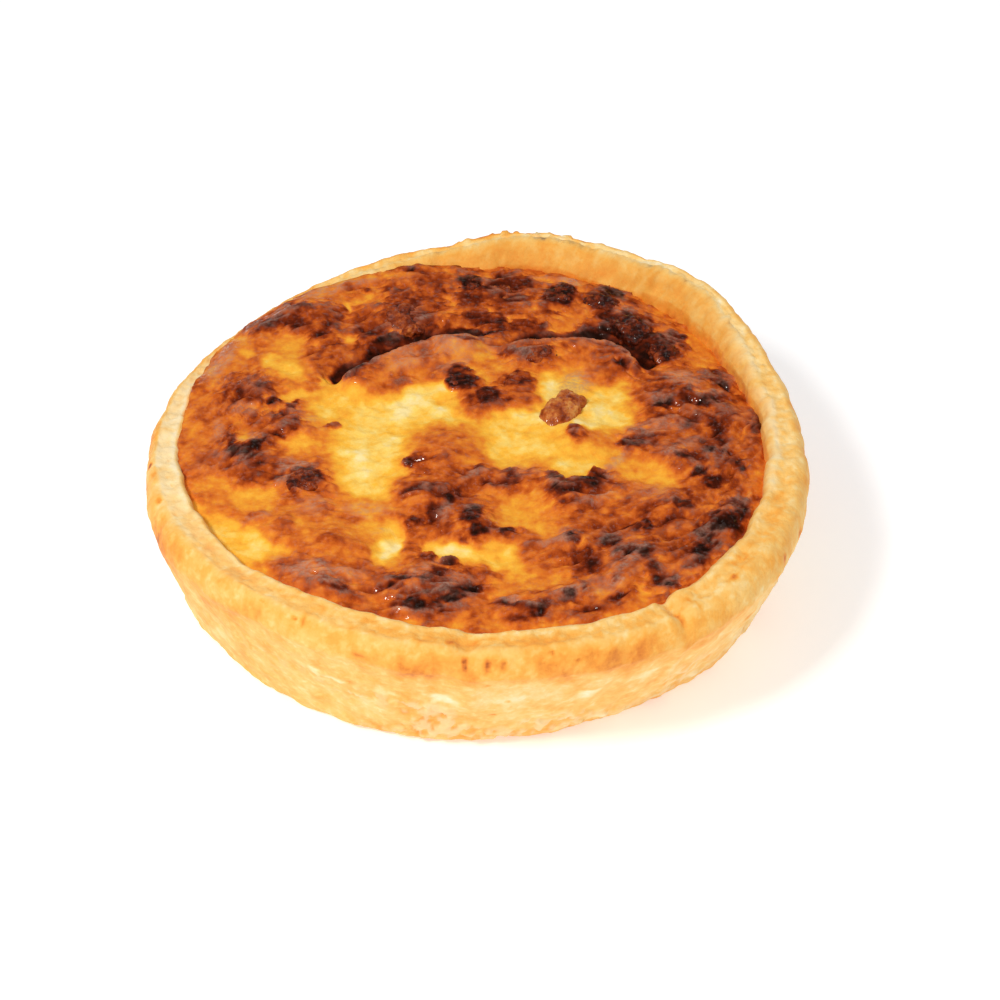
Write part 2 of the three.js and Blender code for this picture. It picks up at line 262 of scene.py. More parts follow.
pastryCase = {
    "rimRadius": 58.4,
    "rimHeight": 31.8,
    "rimWidth": 4.7,
    "rimCornerDrop": 0.8,
    "baseRadius": 50.2,
    "footRounding": 1.5,
    "footThickness": 4.6,
    "floorThickness": 4,
    "bulge": 1.8,
    "bulgeDrop": 5,
    "bulgeShare": 0.85,
    # How outlines stray from a circle: waves round the quiche, cosine part, sine part
    "rimOutline": [(1, 0.003, -0.018), (2, -0.018, 0.005), (3, -0.018, -0.007), (4, -0.006, -0.004)],
    "baseOutline": [(1, -0.014, -0.002), (2, 0.044, 0), (3, 0, -0.024), (4, 0.017, 0)],
    "rimRise": [(1, 1.8, -0.6), (2, -0.66, 1.49), (3, -0.04, -0.6)],
    # Nicks in the rim: angle in degrees, reach in degrees, depth
    "rimNicks": [(268, 2.4, 1.2), (308, 3, 0.5), (303, 1.3, 1.3), (222, 4, 0.6)],
    "thinRim": (150, 34, 1.6),
    # Where the rim sank, where it leans in and where the wall swells more: angle, reach, mm
    "rimSank": [(100, 52, 1.1), (99, 10, 1.0), (58, 6, 1.2), (66, 7, 1.3), (148, 10, 0.7)],
    "rimLeansIn": [(22, 18, 1.1)],
    "swells": [(322, 30, 1.5), (206, 13, 1.3)],
    "footSpreads": [(255, 15, 1.1)],
    "softCorner": (68, 60, 2.7),
    "stepsRound": 780,
    "wallRows": 58,
    "roundOverRows": 13,
    "rimRows": 13,
    "innerRows": 14,
    # Where the parts of the section begin, in mm up the section from the foot
    "sectionPlaces": {"widest": 27.5, "rim": 33, "rimInner": 37.7, "inside": 38.5, "deep": 47.5},
    "deepInside": 9,  # how far down the inside its fine rows go
    # Unevenness: layers of height, size of the lumps in mm, and seed
    "dents": [(0.36, 10, 1), (0.2, 4.5, 2), (0.13, 2, 3), (0.08, 0.9, 4)],
    "rimCrumb": [(0.2, 1.5, 9), (0.13, 0.7, 10)],
    "greasyCrumb": [(0.24, 1.3, 14), (0.16, 0.7, 15)],
    "rimTopWaver": [(0.26, 8, 71), (0.13, 3, 72)],
    "rimOuterWaver": [(0.3, 9, 73), (0.12, 3, 74)],
    "rimInnerWaver": [(0.5, 7, 75), (0.22, 2.6, 76)],
    "footWaver": [(0.25, 8, 77), (0.1, 3, 78)],
    # Where the case is greasy, crumbly, floury or unflaked: angle and reach in degrees
    "greasyAt": (62, 62),
    "crumblyAt": (80, 16),
    "flouryAt": (180, 34),
    "unflakedAt": (212, 22),
    "blotches": [(0.12, 3.6, 22), (0.07, 1.5, 23)],
    "drawnUp": 0.55,  # patches on the wall are taller than wide, as the thumbs drew them up the tin
    # Colour: how baked each part is, from 0, raw and floury, to 1, burnt
    "bakedTone": 0.42,
    "bakedInside": 0.64,
    "bakedBase": 0.45,
    # Marks on the case: angle in degrees, mm up the section from the foot, half size round and
    # up, and how much darker (or paler, below 0) the pastry is there
    "marks": [
        (267.5, 30.4, 0.45, 1.1, 0.5), (271, 29.7, 0.45, 1.0, 0.45), (273.5, 29.7, 0.5, 0.8, 0.5),
        (265, 34.1, 0.6, 0.5, 0.3), (271, 25, 0.5, 0.4, 0.35), (272, 12.7, 0.7, 0.5, 0.4),
        (247.2, 18.4, 0.6, 0.4, 0.3), (250.8, 28.4, 1.4, 0.25, 0.25), (240.8, 31, 0.25, 1.1, 0.3),
        (259.8, 0.8, 0.9, 0.4, 0.45), (239.4, 31.1, 0.4, 0.35, 0.55),
        (232.8, 31.5, 0.6, 0.4, 0.25), (188.2, 30.8, 0.7, 0.9, 0.75), (199.8, 31.9, 0.6, 0.5, 0.6),
        (193.5, 35, 0.5, 0.5, 0.3), (191.8, 32, 0.7, 0.6, 0.35), (204.8, 33.8, 0.5, 0.4, 0.35),
        (302.8, 32.5, 0.5, 1.6, 0.5), (306.5, 32.6, 0.4, 1.2, 0.35), (321, 19, 1.3, 0.6, 0.4),
        (323.2, 27.2, 0.6, 0.5, 0.35), (317.4, 34.4, 0.4, 1.2, 0.2),
        (315, 33.1, 1.4, 0.5, 0.3), (326.5, 28.6, 0.6, 0.6, 0.5), (281, 31.2, 0.4, 0.4, 0.35),
        (284.8, 29.5, 0.45, 0.4, 0.35), (352.8, 28.9, 0.7, 1.2, 0.5), (334.5, 27.5, 0.9, 0.8, 0.5),
        (319.2, 35.8, 0.3, 1.1, 0.3), (320.6, 35.4, 0.3, 0.8, 0.25), (319.9, 34.5, 0.7, 0.3, 0.25),
        (315, 32.6, 0.7, 0.5, 0.3), (306, 34.6, 0.3, 0.9, 0.3), (308, 34.4, 0.3, 0.9, 0.25),
        (274.5, 18.5, 0.4, 0.4, 0.55), (188, 36.2, 0.4, 0.3, 0.5), (196, 35.8, 0.5, 0.3, 0.4),
    ],
    "goldenAreas": [
        (260, 27.4, 4.6, 2.3, 0.18), (269.8, 27.8, 5, 2.2, 0.12), (292.5, 27.8, 5.6, 2.2, 0.13),
        (299.5, 29.4, 4.8, 1.8, 0.09), (285.5, 29, 5, 2.4, 0.1), (222, 25, 5, 3, 0.15),
        (206, 26, 4, 4, 0.18), (309, 26, 6, 3, 0.1), (330, 21, 9, 6, 0.05), (350, 22, 9, 8, 0.14),
        (20, 20, 12, 8, 0.2), (60, 22, 14, 6, 0.18), (110, 24, 12, 6, 0.2), (160, 22, 10, 5, 0.12),
        (90, 30, 14, 3, 0.19), (140, 18, 9, 5, 0.18), (175, 24, 7, 6, 0.1), (236, 12, 22, 11, 0.07),
    ],
    "paleAreas": [
        (335, 22, 30, 14, -0.09),
        (244.8, 18.2, 1.6, 1.1, -0.3), (241, 19, 1.3, 0.9, -0.3), (262.8, 18.7, 1.4, 1, -0.3),
        (265, 17.3, 1.2, 0.8, -0.26), (253.8, 18.2, 1.8, 0.9, -0.24), (287.8, 17.6, 1.5, 1.4, -0.26),
        (289, 19, 1.3, 0.9, -0.24), (297, 19.5, 3, 1.2, -0.16), (285.5, 2.5, 2.6, 1.2, -0.24),
        (293.3, 5.2, 3, 1, -0.28), (314, 6.3, 2, 0.8, -0.28), (275, 19, 8, 1.4, -0.12),
        (236, 15, 7, 6, -0.1), (246, 10, 6, 4, -0.08), (280, 10, 9, 3, -0.1), (279, 20, 6, 4, -0.08),
        (100, 12, 10, 4, -0.14), (40, 10, 10, 4, -0.14), (170, 12, 8, 4, -0.12), (0, 9, 8, 4, -0.12),
    ],
}


def wavesAt(angle, waves):
    return sum(c * np.cos(n * angle) + s * np.sin(n * angle) for n, c, s in waves)


def angleAway(angle, degrees):
    away = angle - math.radians(degrees)
    return np.arctan2(np.sin(away), np.cos(away))


def nearAngle(angle, degrees, reach):
    return np.exp(-(angleAway(angle, degrees) / math.radians(reach)) ** 2)


def placesNear(angle, places):
    return sum(depth * nearAngle(angle, at, reach) for at, reach, depth in places)


def waver(angle, name):
    # How an outline strays round the case, by the layers of that name
    radius = pastryCase["rimRadius"]
    return layered(planPoints(radius * np.cos(angle), radius * np.sin(angle)), pastryCase[name])


def rimTop(angle):
    top = pastryCase["rimHeight"] + wavesAt(angle, pastryCase["rimRise"])
    top = top - placesNear(angle, pastryCase["rimNicks"] + pastryCase["rimSank"])
    return top + waver(angle, "rimTopWaver")


def rimOuter(angle):
    outer = pastryCase["rimRadius"] * (1 + wavesAt(angle, pastryCase["rimOutline"]))
    outer = outer - placesNear(angle, pastryCase["rimLeansIn"])
    return outer + waver(angle, "rimOuterWaver")


def rimInner(angle):
    at, reach, loss = pastryCase["thinRim"]
    inner = rimOuter(angle) - pastryCase["rimWidth"] + loss * nearAngle(angle, at, reach)
    return inner + waver(angle, "rimInnerWaver")


def footOuter(angle):
    foot = pastryCase["baseRadius"] * (1 + wavesAt(angle, pastryCase["baseOutline"]))
    foot = foot + placesNear(angle, pastryCase["footSpreads"])
    return foot + waver(angle, "footWaver")


def bulgeAt(angle):
    return pastryCase["bulge"] + placesNear(angle, pastryCase["swells"])


def cornerDrop(angle):
    # Size of the rounding at the rim's inner corner
    at, reach, more = pastryCase["softCorner"]
    return pastryCase["rimCornerDrop"] + more * nearAngle(angle, at, reach)


def innerRadius(angle, z):
    floor = pastryCase["floorThickness"]
    share = (z - floor) / (rimTop(angle) - floor)
    return mix(footOuter(angle) - pastryCase["footThickness"], rimInner(angle), share)


def caseSection(angle):
    # Rows of (radius, height, mm up the section, part of it) from under the middle, out, up, over
    # the rim and down the inside. The parts: 0 underside, 1 wall, 2 rim, 3 inside.
    foot, outer, inner, top = footOuter(angle), rimOuter(angle), rimInner(angle), rimTop(angle)
    one, bulge = np.ones_like(angle), bulgeAt(angle)
    widest = top - pastryCase["bulgeDrop"]
    rounding, floor = pastryCase["footRounding"], pastryCase["floorThickness"]
    at = pastryCase["sectionPlaces"]
    rows = []
    for share in (0.25, 0.5, 0.7, 0.82, 0.9, 0.95, 0.985, 1):
        rows.append((share * (foot - rounding), 0 * one, -2.0 * one, 0))
    for turn in (0.35, 0.7):
        side = math.pi / 2 * turn
        radius = foot - rounding * (1 - 0.8 * math.sin(side))
        rows.append((radius, 0.5 * rounding * (1 - math.cos(side)) * one, 0 * one, 1))
    for share in np.linspace(0.035, 1, int(pastryCase["wallRows"] * quality)):
        radius = mix(foot, outer + bulge, share ** pastryCase["bulgeShare"])
        rows.append((radius, share * widest, at["widest"] * share * one, 1))
    for turn in np.linspace(0, 1, int(pastryCase["roundOverRows"] * quality) + 1)[1:-1]:
        swell = bulge * math.cos(turn * math.pi / 2)
        height = widest + pastryCase["bulgeDrop"] * math.sin(turn * math.pi / 2)
        rows.append((outer + swell, height, mix(at["widest"], at["rim"], turn) * one, 1))
    drop = cornerDrop(angle)
    for share in np.linspace(0, 1, int(pastryCase["rimRows"] * quality)):
        radius = mix(outer - 0.1, inner + drop, share)
        height = top - 0.25 * math.sin(math.pi * share)
        rows.append((radius, height, mix(at["rim"], at["rimInner"], share) * one, 2))
    for turn in (0.3, 0.6, 0.85):
        side = math.pi / 2 * turn
        radius, height = inner + drop * (1 - math.sin(side)), top - drop * (1 - math.cos(side))
        rows.append((radius, height, mix(at["rimInner"], at["inside"], turn) * one, 3))
    innerTop, fineEnd = top - drop, top - drop - pastryCase["deepInside"]
    for share in np.linspace(0, 1, int(pastryCase["innerRows"] * quality)) ** 1.2:
        height = mix(innerTop, fineEnd, share)
        rows.append((innerRadius(angle, height), height, mix(at["inside"], at["deep"], share) * one, 3))
    for share in (0.35, 0.7, 1):
        height = mix(fineEnd, floor, share)
        rows.append((innerRadius(angle, height), height, (at["deep"] + 14 * share) * one, 3))
    for share in (0.9, 0.5):
        rows.append((share * (foot - pastryCase["footThickness"]), floor * one, 70.0 * one, 3))
    return rows


def gridNormals(grid):
    # Normals of a grid of points, rows up the section and columns round the quiche
    round_ = np.roll(grid, -1, axis=1) - np.roll(grid, 1, axis=1)
    up = np.gradient(grid, axis=0)
    normal = np.cross(round_, up)
    return normal / (np.linalg.norm(normal, axis=2, keepdims=True) + 1e-9)


def markedShare(angle, along, mark, soft):
    at, up, halfRound, halfUp = mark[:4]
    away = angleAway(angle, at) * pastryCase["rimRadius"]
    return 1 - ease(np.hypot(away / halfRound, (along - up) / halfUp), 1 - soft, 1 + soft)


def makeShortcrust():
    # Shortcrust pastry, rolled out, pressed by hand into a tin and baked: a dry, matt, slightly
    # waxy surface with a fine crumb, pale where flour lies and golden where it is thin or proud.
    material, tree = newMaterial("bakedShortcrust")
    place = addNode(tree, "TexCoord").outputs["Object"]
    tone = addNode(tree, "Attribute", attribute_name="tone").outputs["Fac"]
    flourAndHighlight = addNode(tree, "Attribute", attribute_name="flourAndHighlight").outputs["Fac"]
    oil = addNode(tree, "Attribute", attribute_name="oil").outputs["Fac"]
    stretch = (1, 1, pastryCase["drawnUp"])
    drawnUp = addNode(tree, "Mapping", {"Vector": place, "Scale": stretch}).outputs["Vector"]
    mottle = addNode(tree, "TexNoise", {"Vector": drawnUp, "Scale": perMetre(2), "Detail": 3})
    crumb = addNode(tree, "TexNoise", {"Vector": place, "Scale": perMetre(0.7), "Detail": 3})
    mottled = addNode(tree, "Math", {0: mottle.outputs["Fac"], 1: 0.26, 2: tone}, operation="MULTIPLY_ADD")
    crumbed = addNode(tree, "Math", {0: crumb.outputs["Fac"], 1: 0.2, 2: mottled.outputs[0]},
                      operation="MULTIPLY_ADD")
    level = addNode(tree, "Math", {0: crumbed.outputs[0], 1: 0.23}, operation="SUBTRACT")
    baked = addNode(tree, "ValToRGB", {"Fac": level.outputs[0]}, [
        (0, "ffeec6"), (0.2, "fddc98"), (0.38, "fbc66c"), (0.52, "f9b24c"), (0.66, "f49c38"),
        (0.8, "dc7c2a"), (0.9, "a8521c"), (1, "5c2a12"),
    ])
    # The flour colour also carries the painted highlight along the rim's inner edge
    flourAndHighlightMix = addNode(tree, "Mix", {0: flourAndHighlight, 6: baked.outputs["Color"], 7: toLinear("ffe6b8")},
                     data_type="RGBA")
    oily = addNode(tree, "Mix", {0: oil, 6: flourAndHighlightMix.outputs[2], 7: toLinear("da881c")}, data_type="RGBA")
    roughness = addNode(tree, "MapRange", {0: oil, 3: 0.72, 4: 0.42})
    bump = addNode(tree, "Bump", {
        "Height": crumb.outputs["Fac"], "Strength": 0.5, "Distance": 0.3 * millimetre,
    })
    shader = addNode(tree, "BsdfPrincipled", {
        "Base Color": oily.outputs[2], "Roughness": roughness.outputs[0], "Normal": bump.outputs["Normal"],
        "IOR": 1.45, "Specular IOR Level": 0.35, "Sheen Weight": 0.08, "Sheen Roughness": 0.5,
    })
    addNode(tree, "OutputMaterial", {"Surface": shader.outputs["BSDF"]})
    return material


def caseFlakes(points, angles, along):
    # Layers that flaked low on the wall, each with a crisp edge: where, leaves, small flecks
    tall = points * (1, 1, pastryCase["drawnUp"])
    region = ease(along, 0.5, 3) * (1 - ease(along, 15, 20)) * ease(noise(points, 16, 5), -0.35, 0.3)
    region *= 1 - 0.7 * nearAngle(angles, *pastryCase["unflakedAt"])
    leaf = ease(layered(tall, [(1, 3, 6), (0.35, 1.1, 7)]), -0.04, 0.08)
    fleck = ease(noise(tall, 1.6, 8), 0.12, 0.24)
    return region, leaf, fleck


def caseRelief(points, angles, along, part, flakes, onRim, greasy):
    # Dents from fingers and the tin, then flakes, the rolled layers at the foot and the crumb
    region, leaf, fleck = flakes
    relief = layered(points, pastryCase["dents"]) + region * (0.36 * leaf + 0.28 * fleck - 0.22)
    ledges = ease(noise(points * (1, 1, 2.6), 8, 13), -0.1, 0.2)
    relief += 0.26 * ledges * ease(along, 0.2, 1) * (1 - ease(along, 2.5, 5))
    relief += onRim * layered(points, pastryCase["rimCrumb"])
    relief += greasy * ease(along, 33, 36) * layered(points, pastryCase["greasyCrumb"])
    crumbly = nearAngle(angles, *pastryCase["crumblyAt"]) * (part > 0)
    crumbly *= ease(along, 31, 33) * (1 - ease(along, 34.5, 36))
    relief += 0.7 * crumbly * ease(noise(points, 1.7, 11), 0.05, 0.3)
    ragged = ease(noise(points, 2.4, 12), 0.2, 0.6) * ease(along, 30.5, 32.5)
    return relief - 0.14 * ragged * (1 - ease(along, 33.4, 34.4))


def caseColours(points, angles, along, part, flakes, onRim, greasy):
    # How baked, how floury and how oily each point is, with a painted highlight along the rim's inner edge,
    # and the dints that its marks leave
    tall = points * (1, 1, pastryCase["drawnUp"])
    region, leaf, fleck = flakes
    tone = pastryCase["bakedTone"] + 0.1 * noise(points, 11, 21) + layered(tall, pastryCase["blotches"])
    tone += 0.1 * ease(along, 22, 28) * (1 - ease(along, 30, 33)) * (part == 1)
    flourAndHighlight = 0.5 * region * np.maximum(leaf * ease(noise(tall, 4, 24), -0.1, 0.4), fleck)
    blurred, dusted = along + 1.2 * noise(points, 3, 25), ease(noise(points, 1.5, 31), -0.3, 0.4)
    for area in pastryCase["goldenAreas"] + pastryCase["paleAreas"]:
        share = markedShare(angles, blurred, area, 0.75) * (part > 0)
        tone += area[4] * share
        flourAndHighlight += 1.4 * max(0, -area[4] - 0.1) * share * dusted
    wandering, dints = along + 0.3 * noise(points, 1, 26), np.zeros_like(along)
    for mark in pastryCase["marks"]:
        share = markedShare(angles, wandering, mark, 0.7) * (part > 0)
        tone += 0.72 * mark[4] * share
        dints += 0.12 * share
    # The cut rim is floury on the left, and pale with grease at the back right
    left = nearAngle(angles, *pastryCase["flouryAt"])
    tone += onRim * (0.07 - 0.26 * left - 0.27 * greasy + 0.09 * noise(points, 1.2, 32))
    tone -= 0.1 * ease(noise(points, 1.2, 37), 0.25, 0.5) * (part > 0)  # pale specks of dry flour
    flourAndHighlight += onRim * left * (0.42 + 0.3 * noise(points, 2.5, 27))
    # A pale line along the rim's inner edge, floury-looking on the right: a painted highlight
    innerEdgeHighlight = np.exp(-((along - 37.4) / 0.8) ** 2) * (part >= 2)
    tone -= 0.14 * innerEdgeHighlight * (1 - greasy)
    flourAndHighlight += 0.6 * innerEdgeHighlight * nearAngle(angles, 2, 24) * ease(noise(points, 2.4, 33), -0.5, 0.2)
    # The inside wall, which the filling's fat browned, most of all at the back
    insideTone = pastryCase["bakedInside"] + 0.1 * ease(along, 39, 45) + 0.1 * nearAngle(angles, 92, 26)
    insideTone += layered(points, [(0.2, 3.6, 28), (0.15, 1.2, 34)])
    tone = mix(tone, insideTone, ease(along, mix(38, 36.6, greasy), 40.5) * (part >= 2))
    oil = greasy * ease(along + 1.6 * noise(points, 3, 35), 37, 40.5) * (0.5 + 0.5 * noise(points, 1.6, 36))
    base = part == 0
    tone[base] = pastryCase["bakedBase"] + 0.1 * noise(points[base], 8, 29)
    return tone, flourAndHighlight, oil, dints


def caseFaces(rows, steps, under, floor):
    # Quads between the rows, and fans round the two middles
    faces = []
    for row in range(rows - 1):
        for step in range(steps):
            a, b = row * steps + step, row * steps + (step + 1) % steps
            faces.append((a, b, b + steps, a + steps))
    last = (rows - 1) * steps
    for step in range(steps):
        after = (step + 1) % steps
        faces.append((under, after, step))
        faces.append((floor, last + step, last + after))
    return faces


def makeCrust():
    steps = int(pastryCase["stepsRound"] * quality)
    angle = np.linspace(0, 2 * math.pi, steps, endpoint=False)
    section = caseSection(angle)
    radius, height, along = (np.array([row[k] for row in section]) for k in range(3))
    part = np.repeat([row[3] for row in section], steps)
    grid = np.stack([radius * np.cos(angle), radius * np.sin(angle), height], axis=2)
    normals = gridNormals(grid).reshape(-1, 3)
    points, along, angles = grid.reshape(-1, 3), along.ravel(), np.tile(angle, len(section))

    onRim = (part == 2) * ease(along, 32.6, 33.4)
    greasy = nearAngle(angles, *pastryCase["greasyAt"]) * (part >= 2)
    flakes = caseFlakes(points, angles, along)
    tone, flourAndHighlight, oil, dints = caseColours(points, angles, along, part, flakes, onRim, greasy)
    relief = caseRelief(points, angles, along, part, flakes, onRim, greasy) - dints
    tone += 0.06 * np.clip(-relief, 0, 0.5) * (part == 1)  # painted shade: the wall is darker in its creases
    relief = np.where(part == 0, -0.12 * (1 + noise(points, 6, 30)), relief) * (1 - ease(along, 44, 50))
    points = points + normals * relief[:, None]
    points[:, 2] = np.maximum(points[:, 2], 0)

    faces = caseFaces(len(section), steps, len(points), len(points) + 1)
    points = np.vstack([points, [(0, 0, 0.1), (0, 0, pastryCase["floorThickness"])]])
    attributes = {"tone": (tone, pastryCase["bakedBase"]), "flourAndHighlight": (flourAndHighlight, 0), "oil": (oil, 0)}
    for name, (values, atMiddles) in attributes.items():
        attributes[name] = np.append(np.clip(values, 0, 1), [atMiddles, atMiddles])
    crust = makePiece("pastryCase", points, faces, attributes, makeShortcrust())
    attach(crust, "root")
    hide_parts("crust")
    print("crust made:", len(crust.data.polygons), "faces")


makeCrust()


# The filling

baconDice = {
    # node: length, width, height, turn in degrees, how seared and how crumbly
    "bacon_middle": (11.4, 6.6, 7, 56, 0.26, 0.65),
    "bacon_twin_upper": (7, 5.4, 5, -50, 0.7, 0.8),
    "bacon_twin_lower": (5.2, 4.4, 4.4, -60, 0.66, 0.8),
    "bacon_arch": (6.6, 5.2, 4.6, 75, 0.42, 0.6),
    "bacon_lip": (7.4, 3.8, 4, 24, 0.5, 0.8),
    "bacon_back_left": (7.6, 6, 5.4, -42, 0.68, 1),
    "bacon_back_middle": (9, 7, 6, -52, 0.7, 1),
    "bacon_back_right": (7.4, 5.6, 5, -62, 0.68, 1),
    "bacon_rear": (8.4, 6.4, 5.4, 62, 0.66, 1),
    "bacon_rear_twin_1": (6.4, 5, 4.6, 70, 0.7, 0.8),
    "bacon_rear_twin_2": (6.4, 4.6, 4.6, -66, 0.56, 0.8),
    "bacon_rear_left": (10.6, 8, 6.2, -58, 0.5, 1),
    "bacon_left": (7.4, 6.6, 5.4, 12, 0.58, 0.7),
}

eggFilling = {
    "level": 29.1,
    "tilt": 1.2,
    "twist": 0.8,
    "domeHeight": 0.8,
    "domeReach": 26,
    "rings": 176,
    "edgeCalm": 0.9,
    "tuckedIn": 0.25,  # mm that the edge sits in the pastry, so that there is no gap
    "footClearance": 0.3,
    "viewSlope": 1.18,  # mm that a spot 1 mm higher seems further back in the view it was read in
    "viewLevel": 29.5,
    # Lips where the skin has split: path, height, depth of the trench behind
    "lips": [
        ([(-26, 13), (-21, 17.5), (-16, 21.5), (-8, 25.5), (2, 27)], 2.3, 2.6),
        ([(4, 25), (12, 25.6), (18, 26), (24, 24.8), (27, 22), (29.5, 17)], 2, 2.2),
    ],
    "lipReach": 5,
    "lipDrop": 3.4,
    "trenchReach": 3.2,
    # The skin climbs round each piece of bacon: reach as a share of the piece's size, and height
    "baconMound": (0.62, 0.55),
    "highestFold": 0.75,
    # Sizes in mm and seeds of the skin's broad lobes, its folds and its fine streaks
    "foldSizes": [(4.4, 95), (2.1, 33), (0.95, 81)],
    "foldStretch": 3.2,
    # Unevenness: layers of height, size of the lumps in mm, and seed
    "wanderX": [(1.1, 4.5, 41), (0.75, 1.7, 42)],
    "wanderY": [(1.1, 4.5, 43), (0.75, 1.7, 44)],
    "foldBend": [(1.2, 5, 31), (1.2, 5, 32)],
    "charCrumb": [(0.2, 2, 52), (0.24, 0.95, 53)],
    "mottle": [(0.1, 3, 56), (0.1, 1.4, 57), (0.06, 0.8, 60)],
    # How browned the skin is away from all spots, and the layers that this varies by
    "plainBake": 0.49,
    "bakeLayers": [(0.18, 5.5, 45), (0.08, 2.4, 46)],
    "scorchReach": 1.9,  # streaks of scorched skin reach that many times as far as a charred spot
    # How far the skin ran over the rim as it rose, as a share of the rim's width at angles in degrees
    "overRim": [
        (90, 0), (105, 0.2), (115, 0.3), (124, 0.6), (131, 0.92), (141, 0.95), (150, 0.92),
        (155, 0.4), (164, 0),
    ],
    # Lumps and hollows: x, y, reach, height
    "lumps": [
        (-6, -6, 6.5, 1.4), (18, -2, 4.5, 1.1), (4, -5, 7, -0.9), (-15, 4, 8, -0.6),
        (38, 9.5, 6.5, 2.3), (45, 2.5, 5, 1.2), (35, -8.5, 4.5, 1.6), (15, -18, 4.5, 1.7),
        (33, -21.5, 5, 1.5), (43, -26, 4.5, 1.8), (28, -35, 5, 1.7), (37, -37, 4, 1.3),
        (-1, -27, 4.5, 1.7), (-9, -19, 4.5, 1.4), (7, -21, 6, -0.8), (16, -31.5, 4, 1.2),
        (-10, -42, 5.5, 2), (8, -48, 4, 1.5), (16, -45, 4, 1.3), (24, -42, 4, 1.2),
        (-26, -30.5, 5, 1.5), (-34, -25, 4, 1), (-27, -41, 6, 1), (-13, -29.5, 5, -0.8),
        (-42, -5, 4.5, 1.5), (-42, 11, 5.5, 1.6), (-36, 19, 5, 0.9), (-34, 2, 4, 1.3),
        (-32, 37, 6.5, 1.3), (-6, 33, 4.5, 1.2), (-9, 48, 5, 1), (-24, 35, 4, -0.8),
        (42, -12, 5, 1), (30, -11.5, 5, -0.7),
    ],
    # Which way the skin's folds run, in degrees, at points of the plan
    "foldDirections": [
        (28, -33, 38), (44, -22, 55), (38, 8, -24), (46, -6, 70), (32, -8, 20), (15, -16, 15),
        (-5, -42, 12), (-27, -38, -14), (-44, 0, 60), (-46, 20, 62), (-30, 8, -5), (-30, 42, 28),
        (0, 30, 8), (25, 35, -45), (0, 47, -5), (-30, -18, -8), (-12, 24, 25),
    ],
}

# How far each spot of the skin has browned: x, y, half length, half width, turn and level,
# from 0, pale custard, to 1, charred. Later lists lie over earlier ones.
custardSpots = [
    (-46.5, -26, 9, 1.4, -57, 0.24), (-38.6, -36.4, 5, 1.3, -48, 0.26),
    (-16, 7, 10, 6, 20, 0.08), (-18, -2, 8.5, 5.5, 90, 0.1), (-20, -5, 8, 6, 90, 0.14),
    (-19, -14, 6, 5, 90, 0.14), (-8, 6, 8, 5, 0, 0.1), (6, 0, 8, 6, 0, 0.15), (5, -6, 6, 3, 90, 0.18),
    (13, -4, 9, 5, -20, 0.2), (17, -9, 4, 4, 0, 0.18), (8, 4, 6, 3, 20, 0.1), (24, 8, 6, 5, 90, 0.16),
    (13, 13, 5, 2.5, 75, 0.12), (27, 5, 4, 3, 90, 0.2), (22, 4, 4, 2, 0, 0.15),
    (-34.5, 19.5, 3.5, 3, 90, 0.12), (-39, 21.5, 2, 1.8, 90, 0.18), (-27.5, 16.5, 1.8, 1.8, 0, 0.14),
    (-27, 9, 5, 3.5, 60, 0.18), (-25.5, 35, 4, 1.2, 90, 0.14), (-33.5, 30, 2.5, 1.2, 90, 0.2),
    (-41, -29, 9, 3, -42, 0.14), (-15.5, -30.5, 5, 2.3, 80, 0.1), (-4, -32.5, 5, 2.2, -10, 0.1),
    (3, -34, 3.5, 3, 0, 0.16), (16, 9, 6, 5, 56, 0.16), (20, 4, 5, 4, 0, 0.14),
    (-14, -7, 3, 2, 0, 0.12), (-33, 11, 2.5, 1.6, 30, 0.22), (-8, 12, 4, 2, 20, 0.12),
]
goldenSpots = [
    (-24, 29, 2.5, 1, 90, 0.3), (-43.5, 23.5, 1.5, 1, 0, 0.3), (-35, 26, 5, 4, 90, 0.34),
    (-32.5, -3, 3.5, 3, 0, 0.3), (-40, -18, 4, 3, 0, 0.3), (-45, -14, 3, 3, 0, 0.36),
    (7, -37.5, 3, 3, 0, 0.3), (-20, -27, 3, 2, 0, 0.28), (8, -25.5, 4, 2.3, -20, 0.28),
    (7, -21, 6, 4, 0, 0.34), (31, -11.5, 6, 4, 0, 0.32), (34, -14, 3, 2, 0, 0.3),
    (-12, -50.5, 3, 1.5, 0, 0.36), (3, -43.5, 4, 3, 0, 0.38), (-1, -44, 4, 1.5, 90, 0.4),
    (12, -41, 4, 1.2, 25, 0.36), (-4, 23.5, 2.5, 2, 0, 0.36), (1, 22, 3, 2.5, 0, 0.36),
    (15.5, 30, 3, 2.5, 0, 0.38), (-5.5, 38, 4, 2.5, 90, 0.42), (40, 26, 5, 4, 90, 0.36),
    (42, 22, 3, 3, 0, 0.4), (34, 18, 3, 3, 0, 0.4), (-20, -21, 4, 2, 0, 0.4), (17, 33, 4, 3, 0, 0.4),
]
